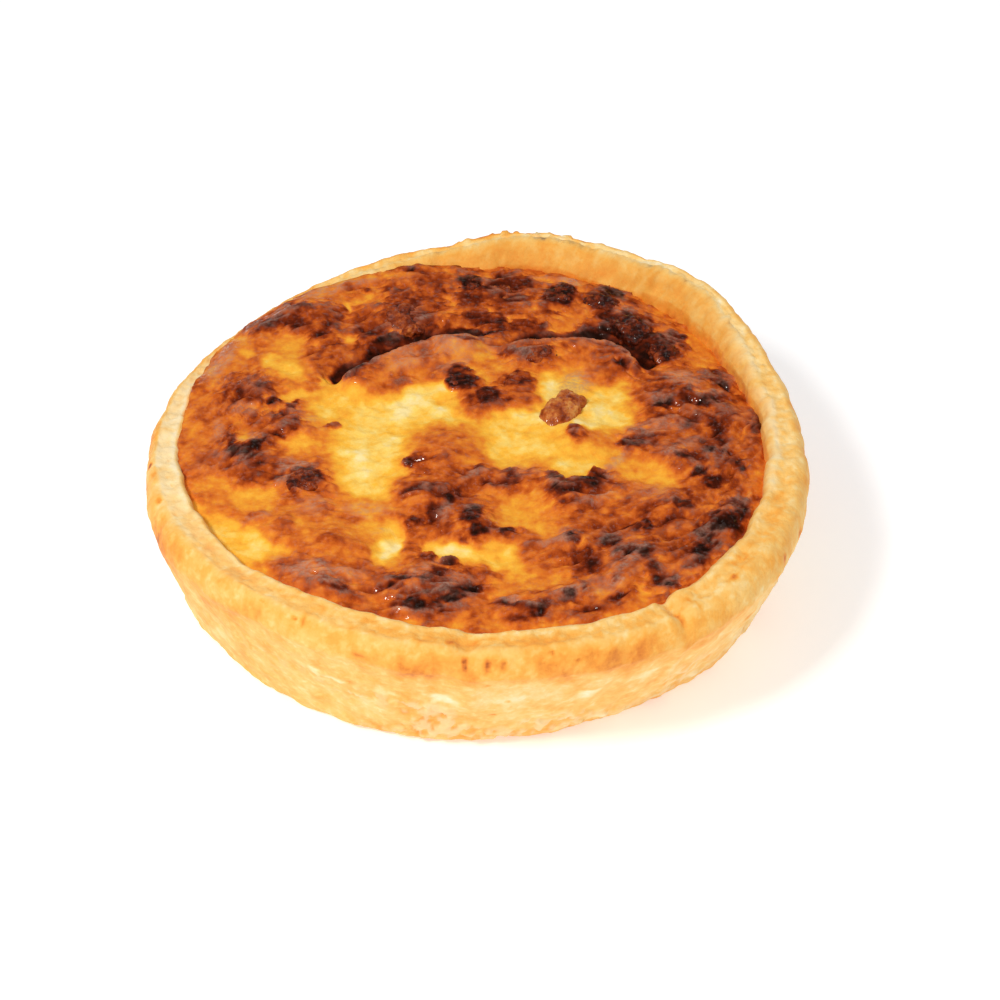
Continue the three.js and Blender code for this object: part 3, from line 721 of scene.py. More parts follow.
brownedSpots = [
    (37, 6, 8, 6, -20, 0.66), (44, -3, 5, 9, 0, 0.64), (33, -4, 4, 3, 30, 0.6), (40, -18, 5, 5, 40, 0.62),
    (-50, 8, 6, 3, 90, 0.52), (-45, 12, 4, 4, 0, 0.54), (-47, 3, 4, 4, 0, 0.52), (-50, -5, 5, 4, 0, 0.5),
    (-42, -8, 7, 4, 0, 0.64), (-39, -12, 4, 3, 0, 0.66), (-28, 22, 5, 4, -50, 0.64),
    (-30, 33, 5, 4, 0, 0.62),
    (-34, 36, 5, 3, 0, 0.64), (-22, 33, 4, 3, 0, 0.62), (-10, 48, 6, 4, 0, 0.6), (-9, 44, 3, 2.5, 0, 0.68),
    (-15, 15.5, 3, 2, 0, 0.66), (-12, 21, 4, 2.5, 30, 0.58), (-17, 13, 3, 3, 0, 0.52), (0, 9, 4, 4, 0, 0.64),
    (8, 9, 3, 2, 0, 0.6), (-6, -3, 6, 5, 0, 0.5), (-9, -8, 5, 2.5, 0, 0.6), (23, 17, 4, 3, 0, 0.58),
    (20, 22, 3, 3, 0, 0.55), (33, 12, 4, 4, 0, 0.7), (36, 7, 4, 4, 0, 0.72), (42, 6, 4, 3, 0, 0.66),
    (47, 3, 4, 3, 0, 0.64), (49, -4, 5, 2, 90, 0.62), (40, 1, 5, 4, 0, 0.68), (30, -3, 4, 3, 0, 0.7),
    (38, -9, 4, 4, 0, 0.66), (44, -10, 5, 2, 90, 0.7), (20, -17, 4, 3, 0, 0.66), (28, -22, 5, 4, 0, 0.58),
    (33, -27, 5, 4, 0, 0.66), (22, -27, 4, 3, 0, 0.68), (18, -25, 3, 2.5, 0, 0.6), (34, -34, 4, 4, 0, 0.62),
    (44, -30, 3, 3, 0, 0.64), (16, -33, 4, 3, 0, 0.66), (11, -34, 3, 3, 0, 0.58),
    (24, -37, 5, 2.5, 25, 0.64),
    (-27, -38, 9, 4.5, -15, 0.6), (-33, -37, 3, 2.5, 0, 0.62), (-18, -40, 4, 3, 0, 0.56),
    (-25, -43, 6, 1.5, -30, 0.55), (-8, -43, 8, 5, 0, 0.68), (-4, -47, 5, 2.5, 0, 0.58),
    (8, -47, 5, 2.5, 0, 0.66), (16, -44, 4.5, 3, 0, 0.62), (18, -47.5, 4, 1.8, 30, 0.66),
    (-10, -16, 5, 4, 0, 0.7), (-2, -13, 5, 3, 0, 0.68), (-6, -22, 5, 4, 0, 0.68), (5, -14, 4, 2.5, 0, 0.66),
    (3, -28, 5, 1.5, 0, 0.62), (-11, -30, 3, 1.8, 90, 0.6), (-12, -22, 3, 3, 0, 0.52),
    (-26, -29, 5, 5, 0, 0.5), (-25.5, -28.5, 2, 1.5, 0, 0.6), (-34, -24.8, 1.6, 1.6, 0, 0.6),
    (-39, -23.5, 2.5, 1.5, 30, 0.55), (-29, -21, 3, 2.5, 0, 0.52), (18, -1, 2.8, 2.4, 0, 0.52),
    (8, 38, 3, 3, 0, 0.64),
]
charredSpots = [
    (0.5, 40.5, 4.2, 3, 0, 0.8), (8, 44.5, 3.5, 2.2, 0, 0.85), (1.2, 44, 1.8, 1.2, 0, 0.92),
    (-18.5, 25, 4, 1.6, 50, 0.97), (-14, 28, 5, 1.8, 25, 0.97), (-23.5, 18.5, 3.5, 2, 45, 0.95),
    (0, 29.6, 5, 0.9, 0, 0.97), (-2, 27.3, 3, 0.6, 0, 0.8), (21, 28.3, 3, 1, 0, 0.95),
    (31, 22, 4, 2, 70, 0.9),
    (-20, 30, 3, 2, 0, 0.85), (-10, 30, 3, 2, 90, 0.88), (-12, 37, 6.5, 0.9, -60, 0.84),
    (-15, 43, 2, 1.5, 0, 0.8), (-14, 36, 5, 4, 0, 0.74), (-40, 32.5, 3, 1, 30, 0.8),
    (-35.5, 33.5, 2.5, 1.5, 0, 0.76), (-36, 38, 1.2, 1.2, 0, 0.78), (-33, 37.5, 1.5, 1.5, 0, 0.74),
    (-28, 36, 2, 1.6, 0, 0.74), (-29.5, 29.5, 2, 2, 0, 0.78), (-22, 43.2, 1.5, 0.5, -30, 0.8),
    (-13.5, 50, 1.5, 1, 0, 0.8), (0, 34, 3, 2.5, 0, 0.82), (3, 32, 2, 2, 0, 0.8),
    (-1.8, 46, 2.5, 1.7, 90, 0.97), (4.5, 44, 3.5, 3, 0, 0.84), (5.5, 47, 2, 2, 0, 0.8),
    (6, 40.5, 4, 1.5, 0, 0.8), (15.3, 40.5, 3.2, 2.6, 90, 0.99), (18.3, 42, 1.5, 1, 90, 0.85),
    (12, 31, 2, 1, 90, 0.8), (8, 31, 3, 2, 0, 0.76), (23, 39.5, 3, 2.5, 90, 0.9),
    (26, 41.5, 3, 1.2, -40, 0.97), (24, 36, 4, 2, 90, 0.95), (27, 33, 3, 3, 0, 0.92),
    (31, 31, 3, 2, 90, 0.82), (24, 29.5, 3.5, 2, 0, 0.96), (29, 29, 3, 3, 0, 0.95),
    (33, 26.5, 3.5, 3, 0, 0.92), (36, 27.5, 2, 2, 0, 0.85), (34.5, 22, 3, 2, 0, 0.85),
    (38, 25, 3, 1, 90, 0.68), (-4, 17, 2.5, 2, 90, 0.97), (-3, 14.5, 2.5, 2, 0, 0.9),
    (1.5, 10.5, 2.6, 2.2, 90, 0.9), (7.5, 14.5, 2, 1.5, 90, 0.76), (10.5, 23.5, 3, 2.2, 30, 0.82),
    (6.5, 24, 1.5, 1.5, 0, 0.74), (26.5, 20, 1.5, 1.3, 0, 0.93), (25, 23, 1.5, 1.5, 0, 0.78),
    (-12, -8.5, 1.6, 1.6, 0, 0.93), (17, 0, 1.4, 1, 0, 0.8), (-14.5, 15, 1.2, 1.2, 0, 0.76),
    (33.5, 7.5, 2, 1.8, 0, 0.95), (37.5, 11, 2, 1.2, 0, 0.88), (42, 8.5, 2.2, 1.3, 0, 0.92),
    (45, 13, 2, 1.5, 90, 0.92), (44, 16, 2, 1.5, 0, 0.82), (50, 2, 3, 1, 90, 0.86), (34, 3.5, 3, 1, 0, 0.8),
    (38, 2, 2, 2, 0, 0.84), (28, -4, 1.6, 1.4, 0, 0.97), (26.5, -3, 1, 1, 0, 0.88),
    (35.5, -7.5, 1.3, 1.3, 0, 0.97), (39.5, -12, 1.5, 1.5, 0, 0.93), (41.5, -15, 2, 1.2, 90, 0.95),
    (43, 0, 3, 1, 90, 0.84), (42.7, -4, 3, 0.8, 90, 0.84), (46.5, -11, 2, 1, 90, 0.88),
    (41, -6, 1.5, 1, 0, 0.86), (21, -11.5, 1.5, 1, 0, 0.88), (20.5, -14, 2.5, 1.5, -20, 0.9),
    (15, -16, 3, 2.5, -30, 0.96), (13, -13.5, 1.5, 1.2, 0, 0.88), (17.5, -14.5, 3, 2, 0, 0.88),
    (5.5, -13.5, 2, 1, 30, 0.85), (2, -14.5, 1.5, 0.8, 0, 0.82), (-0.5, -10.5, 1, 1, 0, 0.82),
    (-8, -16, 1.5, 1, 0, 0.85), (-5.5, -18.5, 1.5, 1.5, 0, 0.93), (-11, -16, 1.5, 1, 0, 0.85),
    (-1.5, -23.5, 2.5, 2, 90, 0.95), (-0.5, -27, 2, 1.6, 0, 0.97), (-8, -23, 2, 0.7, 90, 0.82),
    (-11.7, -25, 1.1, 1.1, 0, 0.95), (4.5, -27, 1.5, 0.8, 0, 0.82), (35, -20.5, 2, 1.3, 0, 0.93),
    (45.5, -22, 2.5, 1.5, 90, 0.9), (42, -26, 3.2, 2.6, 0, 0.98), (41, -23.5, 2, 1.2, 0, 0.88),
    (39, -29, 2, 1.5, 0, 0.88), (38.5, -33, 3, 2, 60, 0.95), (36.5, -36, 3, 1.2, 35, 0.86),
    (31, -40.5, 2.2, 1.6, 30, 0.96), (29.5, -38, 2.5, 0.8, 90, 0.84), (28.3, -33, 1.8, 1.4, 90, 0.97),
    (25, -32.7, 2.5, 1, 25, 0.88), (28.5, -26.5, 2.2, 1, 90, 0.93), (26.5, -27, 1.5, 0.8, 90, 0.85),
    (22.5, -30.5, 1.8, 1.5, 0, 0.86), (16.3, -29.3, 1.3, 1, 0, 0.95), (18.5, -36, 2.2, 1.5, 90, 0.9),
    (16, -34, 2, 1, 90, 0.84), (14.5, -43.3, 1.2, 0.7, 0, 0.93), (17, -41.5, 1, 0.8, 0, 0.86),
    (23, -44, 2.2, 0.7, 30, 0.84), (6, -46.8, 2.5, 1, 0, 0.9), (10.5, -47, 2.2, 1.2, 90, 0.93),
    (8, -49, 2, 1, 0, 0.82), (17.5, -48, 2, 1, 30, 0.84), (-14, -39.3, 1.6, 0.9, 0, 0.96),
    (-8.5, -39, 4, 0.8, 12, 0.93), (-4, -43.5, 3.5, 1.4, 30, 0.96), (-11, -46, 2, 1.6, -30, 0.97),
    (-15, -41.5, 1, 1, 0, 0.85), (-8, -47, 2, 1, 0, 0.86), (-9, -33.8, 1.2, 1, 0, 0.84),
    (-5, -36, 1.5, 1, 0, 0.84), (-26, -40, 2, 0.7, -20, 0.74), (-24, -42, 2.5, 0.8, -40, 0.72),
    (-42.5, -5, 2.3, 1.6, 0, 0.98), (-39.5, -3, 2, 1.6, 0, 0.92), (-40, -8, 2.5, 2, 0, 0.82),
    (-44.5, -2.5, 2, 0.8, 90, 0.84), (-30.5, -13.5, 2.8, 1.8, 0, 0.9), (-31, -11, 2, 1, 0, 0.9),
    (-34, 2.5, 2, 2, 0, 0.78), (-36, -0.5, 1.5, 0.8, 0, 0.82), (-26.5, 2, 1, 1, 0, 0.8),
    (-42, 12, 3, 3, 0, 0.78), (-39, 13, 2.5, 1, -45, 0.84), (-37.5, 9.5, 1.2, 1.2, 0, 0.84),
    (-41, 4.5, 1, 1, 0, 0.8), (-34.5, 7, 1.5, 0.8, 90, 0.78),
]
# Greyish veil over browned crests, which is painted sheen standing for the lamps' reflection on wet skin,
# and at the first spot a real patch of tan fat: as above, with its strength last
fatAndSheenSpots = [
    (17.6, 14, 3.4, 2.6, 56, 0.8),
    (-48.5, 21, 5.5, 1.6, 62, 0.7), (-42, 31.5, 3, 1.2, 25, 0.5), (-30, 43.5, 6, 1.6, 22, 0.7),
    (-24, 46, 4, 1.2, 15, 0.6), (-38, 36, 3, 1, 40, 0.6), (-12, 22, 6, 2.4, 25, 0.5),
    (-4, 26, 5, 2.5, 10, 0.55), (-5, 20.5, 4, 1.5, 30, 0.6), (2, 24, 3, 1.5, 0, 0.3),
    (-41, 14, 2.5, 2.5, 0, 0.35), (-43, 7, 3, 1.5, -30, 0.5), (-33, 5, 4, 1, -5, 0.5),
    (-47, 0.5, 3, 1, 90, 0.5), (-41, -1.5, 3, 1, 0, 0.55), (-39, -6.5, 2, 1, 0, 0.5),
    (-32.5, -9.5, 3, 1.8, 0, 0.8), (-35, -13, 1.5, 1.2, 0, 0.6), (-29, -20.5, 3, 2, 0, 0.45),
    (-39, -23, 2.5, 1, 30, 0.5), (-20, -21.5, 4, 1.5, -10, 0.45), (-17.5, -27, 1.5, 1, 0, 0.5),
    (-27, -37.5, 7, 2, -5, 0.65), (-25, -40, 3, 1, -20, 0.6), (-34, -34, 1.5, 1, -30, 0.5),
    (-8.5, -36.5, 3.5, 1.2, 20, 0.55), (-8, -42, 4.5, 1.3, 12, 0.85), (-13.5, -47, 1.5, 0.9, -20, 0.8),
    (-3.5, -39.5, 3, 1, 0, 0.5), (7, -45.5, 4, 1, 0, 0.85), (15, -42.8, 3, 1, 20, 0.7),
    (22.8, -39.5, 1.5, 0.9, 0, 0.8), (20, -41, 4, 1.5, 20, 0.4), (25, -37, 3, 1.5, 0, 0.4),
    (13, -29.8, 3, 1, 20, 0.7), (16, -27.5, 2, 1, 0, 0.5), (2, -27, 2, 0.7, 0, 0.5),
    (-1, -12.5, 3.5, 1, 40, 0.7), (-9, -15.5, 3, 1, 0, 0.55), (-6, -22, 2.2, 1.5, 90, 0.6),
    (-1.5, -21.5, 1.5, 0.9, 0, 0.7), (7, -11.5, 4, 1.5, 0, 0.35), (13, -14, 1.5, 1.2, 0, 0.6),
    (20, -19, 3.5, 1, 25, 0.55), (24, -8.5, 3.5, 1, 50, 0.6), (23, -13, 1.5, 1, 0, 0.6),
    (30.5, 0.5, 4, 2, 20, 0.6), (36, 1.5, 3, 1.5, 0, 0.5), (34.5, -5.8, 1.6, 1, 0, 0.85),
    (37, -3.5, 4, 1, 0, 0.45), (38, -9.5, 2, 0.8, -45, 0.5), (31, -17, 4, 1.5, -5, 0.45),
    (34, -19.5, 1.8, 1, 0, 0.5), (46, -20, 1.5, 1, 0, 0.5), (43.5, -22.5, 2, 1, 0, 0.5),
    (39, -28, 2, 1.5, 90, 0.5), (32, -39.5, 1.2, 0.8, 0, 0.6), (27, -32, 2, 0.8, 25, 0.75),
    (24.5, -34.5, 2, 0.7, 0, 0.5), (37.5, 14.5, 3.5, 1.8, -25, 0.7), (33, 9.5, 2, 1.5, 0, 0.6),
    (40, 11, 3, 1, -35, 0.6), (43, 10, 2, 1, 0, 0.5), (46, 15, 2, 2, 0, 0.5), (49, 1.5, 3, 1.5, 90, 0.35),
    (46.5, 4, 2, 2, 0, 0.25), (17.5, 45.5, 2.5, 1.5, -20, 0.85), (12, 46.5, 2, 1, 0, 0.5),
    (6, 48, 1.5, 1, 0, 0.3), (1.5, 46.5, 1.5, 1, 0, 0.5), (26, 24, 2.5, 1.2, -45, 0.55),
    (20, 25.5, 3, 1, 0, 0.3), (28, 36.5, 2.5, 2, 0, 0.4), (35.5, 27, 2.5, 1.5, -60, 0.4),
    (25, 31.5, 2, 2, 0, 0.3), (-16, 32, 3, 2, 0, 0.35), (-12, 35, 3, 2, 90, 0.3), (8, 24.5, 2, 1, 0, 0.3),
]


def levelAt(x, y):
    dome = eggFilling["domeHeight"] * np.exp(-(x * x + y * y) / eggFilling["domeReach"] ** 2)
    radius = pastryCase["rimRadius"]
    slope = eggFilling["tilt"] * y / radius + eggFilling["twist"] * x * y / radius ** 2
    return eggFilling["level"] - slope + dome


def splinePoints(path, count):
    # A smooth curve through the path's points
    path = np.array(path, dtype=float)
    places = np.linspace(0, len(path) - 1, count)
    start = np.minimum(places.astype(int), len(path) - 2)
    t = (places - start)[:, None]
    before, after = path[np.maximum(start - 1, 0)], path[np.minimum(start + 2, len(path) - 1)]
    here, there = path[start], path[start + 1]
    slopeHere, slopeThere = (there - before) / 2, (after - here) / 2
    cubic = (2 * here - 2 * there + slopeHere + slopeThere) * t ** 3
    square = (3 * there - 3 * here - 2 * slopeHere - slopeThere) * t ** 2
    return cubic + square + slopeHere * t + here


def lipParts(x, y, lip):
    # How high a lip stands at each point, and how deep in its trench the point is
    path, height, trench = lip
    curve = splinePoints(path, 65)
    nearest = np.full(len(x), 1e9)
    side, share = np.zeros(len(x)), np.zeros(len(x))
    for number, (start, end) in enumerate(zip(curve[:-1], curve[1:])):
        dx, dy = end - start
        along = np.clip(((x - start[0]) * dx + (y - start[1]) * dy) / (dx * dx + dy * dy), 0, 1)
        offX, offY = x - start[0] - along * dx, y - start[1] - along * dy
        away = np.hypot(offX, offY)
        closer = away < nearest
        nearest = np.where(closer, away, nearest)
        side = np.where(closer, np.sign(dx * offY - dy * offX), side)
        share = np.where(closer, (number + along) / (len(curve) - 1), share)
    fade = ease(share, 0, 0.14) * ease(1 - share, 0, 0.14)
    front = height * np.exp(-(nearest / eggFilling["lipReach"]) ** 2)
    drop = mix(height, -trench, ease(nearest, 0, eggFilling["lipDrop"]))
    spread = np.maximum(0, nearest - eggFilling["lipDrop"]) / eggFilling["trenchReach"]
    back = drop * np.exp(-spread ** 2)
    inTrench = np.clip(-back / trench, 0, 1) * (side > 0) * fade
    crest = fade * np.exp(-((nearest / 0.7) ** 2))
    return fade * np.where(side > 0, back, front), inTrench, crest


def broadSkin(x, y):
    z = levelAt(x, y)
    trench, crest = np.zeros_like(x), np.zeros_like(x)
    for lip in eggFilling["lips"]:
        rise, inTrench, onCrest = lipParts(x, y, lip)
        z = z + rise
        trench, crest = np.maximum(trench, inTrench), np.maximum(crest, onCrest)
    for cx, cy, reach, height in eggFilling["lumps"]:
        z = z + height * np.exp(-((x - cx) ** 2 + (y - cy) ** 2) / reach ** 2)
    return z, trench, crest


def foldsAt(x, y, size, seed):
    # Wrinkles of the browned skin, about size mm apart and longer, -1 in a crease to 1 on a crest
    cosine, sine = np.zeros_like(x), np.zeros_like(x)
    for cx, cy, direction in eggFilling["foldDirections"]:
        weight = 1 / ((x - cx) ** 2 + (y - cy) ** 2 + 30) ** 1.5
        cosine += weight * math.cos(math.radians(2 * direction))
        sine += weight * math.sin(math.radians(2 * direction))
    direction = np.arctan2(sine, cosine) / 2
    total, weights = np.zeros_like(x), np.zeros_like(x)
    points = planPoints(x, y)
    bentX, bentY = (place + layered(points, [bend]) for place, bend in zip((x, y), eggFilling["foldBend"]))
    for number in range(6):
        turn = number * 30
        along, across = turned(bentX, bentY, turn)
        crest = ridges(planPoints(along / eggFilling["foldStretch"], across), size, seed + number)
        weight = np.clip(np.cos(2 * (direction - math.radians(turn))), 0, 1) ** 3
        total += weight * crest
        weights += weight ** 2
    return total / np.sqrt(weights)


def bakeAt(x, y, trench):
    # How browned the skin is, with the spots' edges wandering as melted cheese does, with painted shade deep
    # in the lips' trenches, and how much fat and painted sheen veil it
    points = planPoints(x, y)
    wx, wy = x + layered(points, eggFilling["wanderX"]), y + layered(points, eggFilling["wanderY"])
    bakeAndShading = eggFilling["plainBake"] + layered(points, eggFilling["bakeLayers"])
    softness = ((custardSpots, 0.7), (goldenSpots, 0.8), (brownedSpots, 0.7), (charredSpots, 0.45))
    for spots, soft in softness:
        for spot in spots:
            bakeAndShading = mix(bakeAndShading, spot[5], spotShare(wx, wy, spot, soft))
    scorch = np.zeros_like(x)
    reach = eggFilling["scorchReach"]
    for cx, cy, length, width, turn, _ in charredSpots:
        around = (cx, cy, reach * length, reach * width, turn)
        scorch = np.maximum(scorch, spotShare(wx, wy, around, 0.8))
    # Deep in a lip's trench the skin goes near black: partly char, partly painted shade in the trench
    bakeAndShading = mix(bakeAndShading, 0.97, ease(trench, 0.35, 0.8))
    fatAndSheen = np.zeros_like(x)
    for spot in fatAndSheenSpots:
        fatAndSheen = np.maximum(fatAndSheen, spot[5] * spotShare(wx, wy, spot, 0.5))
    return bakeAndShading, scorch, fatAndSheen


def makeBrownedCustard():
    # Egg custard with melted cheese, baked until its skin browned: a moist, slightly greasy film
    # over soft yellow curd, and a wrinkled skin that goes from orange to black where it stood proud.
    material, tree = newMaterial("brownedEggCustard")
    place = addNode(tree, "TexCoord").outputs["Object"]
    bakeAndShading = addNode(tree, "Attribute", attribute_name="bakeAndShading").outputs["Fac"]
    fatAndSheen = addNode(tree, "Attribute", attribute_name="fatAndSheen").outputs["Fac"]
    blotch = addNode(tree, "TexNoise", {
        "Vector": place, "Scale": perMetre(1.8), "Detail": 4, "Roughness": 0.52,
    })
    grain = addNode(tree, "TexNoise", {"Vector": place, "Scale": perMetre(0.5), "Detail": 2})
    centred = addNode(tree, "Math", {0: blotch.outputs["Fac"], 1: 0.5}, operation="SUBTRACT")
    unevenness = addNode(tree, "MapRange", {0: bakeAndShading, 1: 0.15, 2: 0.45, 3: 0.12, 4: 0.32})
    blotched = addNode(tree, "Math", {0: centred.outputs[0], 1: unevenness.outputs[0], 2: bakeAndShading},
                       operation="MULTIPLY_ADD")
    grained = addNode(tree, "Math", {0: grain.outputs["Fac"], 1: 0.1, 2: blotched.outputs[0]},
                      operation="MULTIPLY_ADD")
    level = addNode(tree, "Math", {0: grained.outputs[0], 1: 0.06}, operation="SUBTRACT")
    skin = addNode(tree, "ValToRGB", {"Fac": level.outputs[0]}, [
        (0, "ffe8a4"), (0.1, "ffd870"), (0.2, "febf42"), (0.3, "f5a634"), (0.4, "e8862c"),
        (0.5, "d66c24"), (0.6, "b65018"), (0.7, "8e3610"), (0.8, "642008"), (0.9, "401406"),
        (1, "200a03"),
    ])
    wet = addNode(tree, "Attribute", attribute_name="wet").outputs["Fac"]
    # The greyish veil mixed over the skin: painted sheen, a painted reflection on wet crests, and in places
    # real dried fat
    fatAndSheenColour = addNode(tree, "ValToRGB", {"Fac": bakeAndShading}, [
        (0.15, "d0a868"), (0.5, "c88e70"), (0.75, "9c7464"), (0.95, "6c5248"),
    ])
    fibres = addNode(tree, "TexNoise", {"Vector": place, "Scale": perMetre(0.5), "Detail": 3})
    broken = addNode(tree, "MapRange", {0: fibres.outputs["Fac"], 1: 0.35, 2: 0.62, 3: 0.35, 4: 1.1})
    veil = addNode(tree, "Math", {0: fatAndSheen, 1: broken.outputs[0]}, operation="MULTIPLY")
    veiled = addNode(tree, "Mix", {
        0: veil.outputs[0], 6: skin.outputs["Color"], 7: fatAndSheenColour.outputs["Color"],
    }, data_type="RGBA")
    roughness = addNode(tree, "MapRange", {0: bakeAndShading, 3: 0.5, 4: 0.4})
    beads = addNode(tree, "TexNoise", {"Vector": place, "Scale": perMetre(0.7), "Detail": 2})
    drops = addNode(tree, "MapRange", {0: beads.outputs["Fac"], 1: 0.55, 2: 0.64, 3: 0.03, 4: 1})
    fat = addNode(tree, "Math", {0: drops.outputs[0], 1: wet}, operation="MULTIPLY")
    lumps = addNode(tree, "TexNoise", {"Vector": place, "Scale": perMetre(1), "Detail": 4})
    bump = addNode(tree, "Bump", {
        "Height": lumps.outputs["Fac"], "Strength": 0.5, "Distance": 0.3 * millimetre,
    })
    shader = addNode(tree, "BsdfPrincipled", {
        "Base Color": veiled.outputs[2], "Roughness": roughness.outputs[0], "Normal": bump.outputs["Normal"],
        "IOR": 1.42, "Specular IOR Level": 0.04, "Coat Weight": fat.outputs[0], "Coat Roughness": 0.1,
    })
    addNode(tree, "OutputMaterial", {"Surface": shader.outputs["BSDF"]})
    return material


def plugPlan():
    # The points of the plug's top, in rings: share of the way out, angle, place and edge height
    rings = int(eggFilling["rings"] * quality)
    share, angle = [np.zeros(1)], [np.zeros(1)]
    for ring in range(1, rings + 1):
        share.append(np.full(6 * ring, ring / rings))
        angle.append(np.linspace(0, 2 * math.pi, 6 * ring, endpoint=False))
    share, angle = np.concatenate(share), np.concatenate(angle)
    radius, tuckedIn = pastryCase["rimRadius"], eggFilling["tuckedIn"]
    edgeZ = levelAt(radius * np.cos(angle), radius * np.sin(angle))
    overRim = np.interp(np.degrees(angle), *np.array(eggFilling["overRim"]).T)
    edgeZ = mix(edgeZ, rimTop(angle) + tuckedIn, ease(overRim, 0, 0.35))
    inside = innerRadius(angle, np.minimum(edgeZ, rimTop(angle)))
    reach = inside + tuckedIn + overRim * (rimOuter(angle) - inside)
    return rings, share, angle, share * reach * np.cos(angle), share * reach * np.sin(angle), edgeZ


def roundBacon(x, y):
    # How far the skin climbs round the pieces of bacon, and how dark they stain it
    points = planPoints(x, y)
    mound, stain = np.zeros_like(x), np.zeros_like(x)
    reach, height = eggFilling["baconMound"]
    for node, (length, width, _, turn, searing, _) in baconDice.items():
        low, high = (np.array(corner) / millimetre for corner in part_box(node))
        cx, cy = (low + high)[:2] / 2 + outlineMiddle
        along, across = turned(x - cx, y - cy, turn)
        near = np.exp(-((along / (length * reach)) ** 2 + (across / (width * reach)) ** 2))
        mound += height * near
        darkness = mix(0.74, 0.92, ease(searing, 0.5, 0.68)) * ease(searing, 0.3, 0.44)
        stain = np.maximum(stain, darkness * ease(near + 0.2 * noise(points, 1.8, 58), 0.34, 0.74))
    return mound, stain


def bakedSkin(x, y, z, trench, crest, stain):
    # How far the skin is raised, how browned it is with its painted light and shade, how much dried fat and
    # painted sheen veil it, and how wet it is
    points = planPoints(x, y)
    seenY = y + (z - eggFilling["viewLevel"]) * eggFilling["viewSlope"]
    bakeAndShading, scorch, fatAndSheen = bakeAt(x, seenY, trench)
    lobes, folds, streaks = (foldsAt(x, y, *sizeAndSeed) for sizeAndSeed in eggFilling["foldSizes"])
    bakeAndShading = np.maximum(bakeAndShading, stain)
    streaky = ease(streaks + 0.4 * noise(points, 1.2, 47), 0, 0.7) * ease(bakeAndShading, 0.3, 0.5)
    bakeAndShading = mix(bakeAndShading, np.maximum(bakeAndShading, 0.8), 0.8 * scorch * streaky)
    curd, browned = 1 - ease(bakeAndShading, 0.12, 0.35), ease(bakeAndShading, 0.4, 0.62)
    wrinkled, charred = ease(bakeAndShading, 0.52, 0.7), ease(bakeAndShading, 0.76, 0.95)
    curdLumps = noise(points, 4, 54)

    folded = browned * (0.4 * lobes + 0.4 * folds + 0.12 * streaks + 0.12 * noise(points, 1.1, 51))
    folded += wrinkled * (0.25 * folds + 0.22 * streaks) * (1 - trench)
    folded += charred * (0.12 + layered(points, eggFilling["charCrumb"])) * (1 - trench)
    highest = eggFilling["highestFold"]
    raised = highest * np.tanh(folded / highest) + 0.07 * noise(points, 1.3, 55) + 0.3 * fatAndSheen
    raised += curd * (0.3 * curdLumps + 0.16 * noise(points, 1.8, 59) + 0.2 * ridges(points, 3.4, 63) - 0.3)

    mottle = layered(points, eggFilling["mottle"]) + charred * 0.09 * noise(points, 0.9, 62)
    # The curd is paler on its raised lumps and more golden in the hollows between them: painted highlight
    # and painted shade
    bakeAndShading = bakeAndShading + mix(0.5, 1, browned) * mottle - curd * 0.14 * curdLumps
    # Darker on the tops of the broad lobes; lighter on the crests of the folds and streaks and darker in
    # their creases, which is painted light and shade
    bakeAndShading += 0.06 * (browned * lobes - browned * folds - wrinkled * streaks)
    # On the crests of the folds and along the lips' crests the skin gets a greyish veil: painted sheen
    crestSheen = mix(0.1, 0.62, ease(bakeAndShading, 0.56, 0.74)) * browned * ease(folds, 0.2, 0.8)
    fatAndSheen = fatAndSheen + crestSheen * ease(noise(points, 6, 61), -0.2, 0.3) + 0.6 * crest
    fatAndSheen = np.clip(fatAndSheen * mix(0.12, 1, ease(streaks, -0.3, 0.5)), 0, 0.8)
    fatAndSheen *= (1 - 0.25 * charred) * (1 - trench)
    wet = mix(0.3, 1, ease(bakeAndShading, 0.3, 0.6)) * (1 - 0.9 * ease(trench, 0.2, 0.6)) * (1 - 0.3 * charred)
    return raised, bakeAndShading, fatAndSheen, wet


def plugFaces(rings):
    # Triangles between the top's rings, then the side down to a ring of its own, then the foot
    first = lambda ring: 1 + 3 * ring * (ring - 1) if ring else 0
    corner = lambda ring, step: first(ring) + (step % (6 * ring) if ring else 0)
    faces = []
    for ring in range(rings):
        for side in range(6):
            for k in range(ring + 1):
                near, far = side * ring + k, side * (ring + 1) + k
                faces.append((corner(ring, near), corner(ring + 1, far), corner(ring + 1, far + 1)))
                if k < ring:
                    faces.append((corner(ring, near), corner(ring + 1, far + 1), corner(ring, near + 1)))
    around, topEdge, foot = 6 * rings, first(rings), first(rings + 1)
    for step in range(around):
        after = (step + 1) % around
        faces.append((topEdge + step, foot + step, foot + after, topEdge + after))
        faces.append((foot + around, foot + after, foot + step))
    return faces


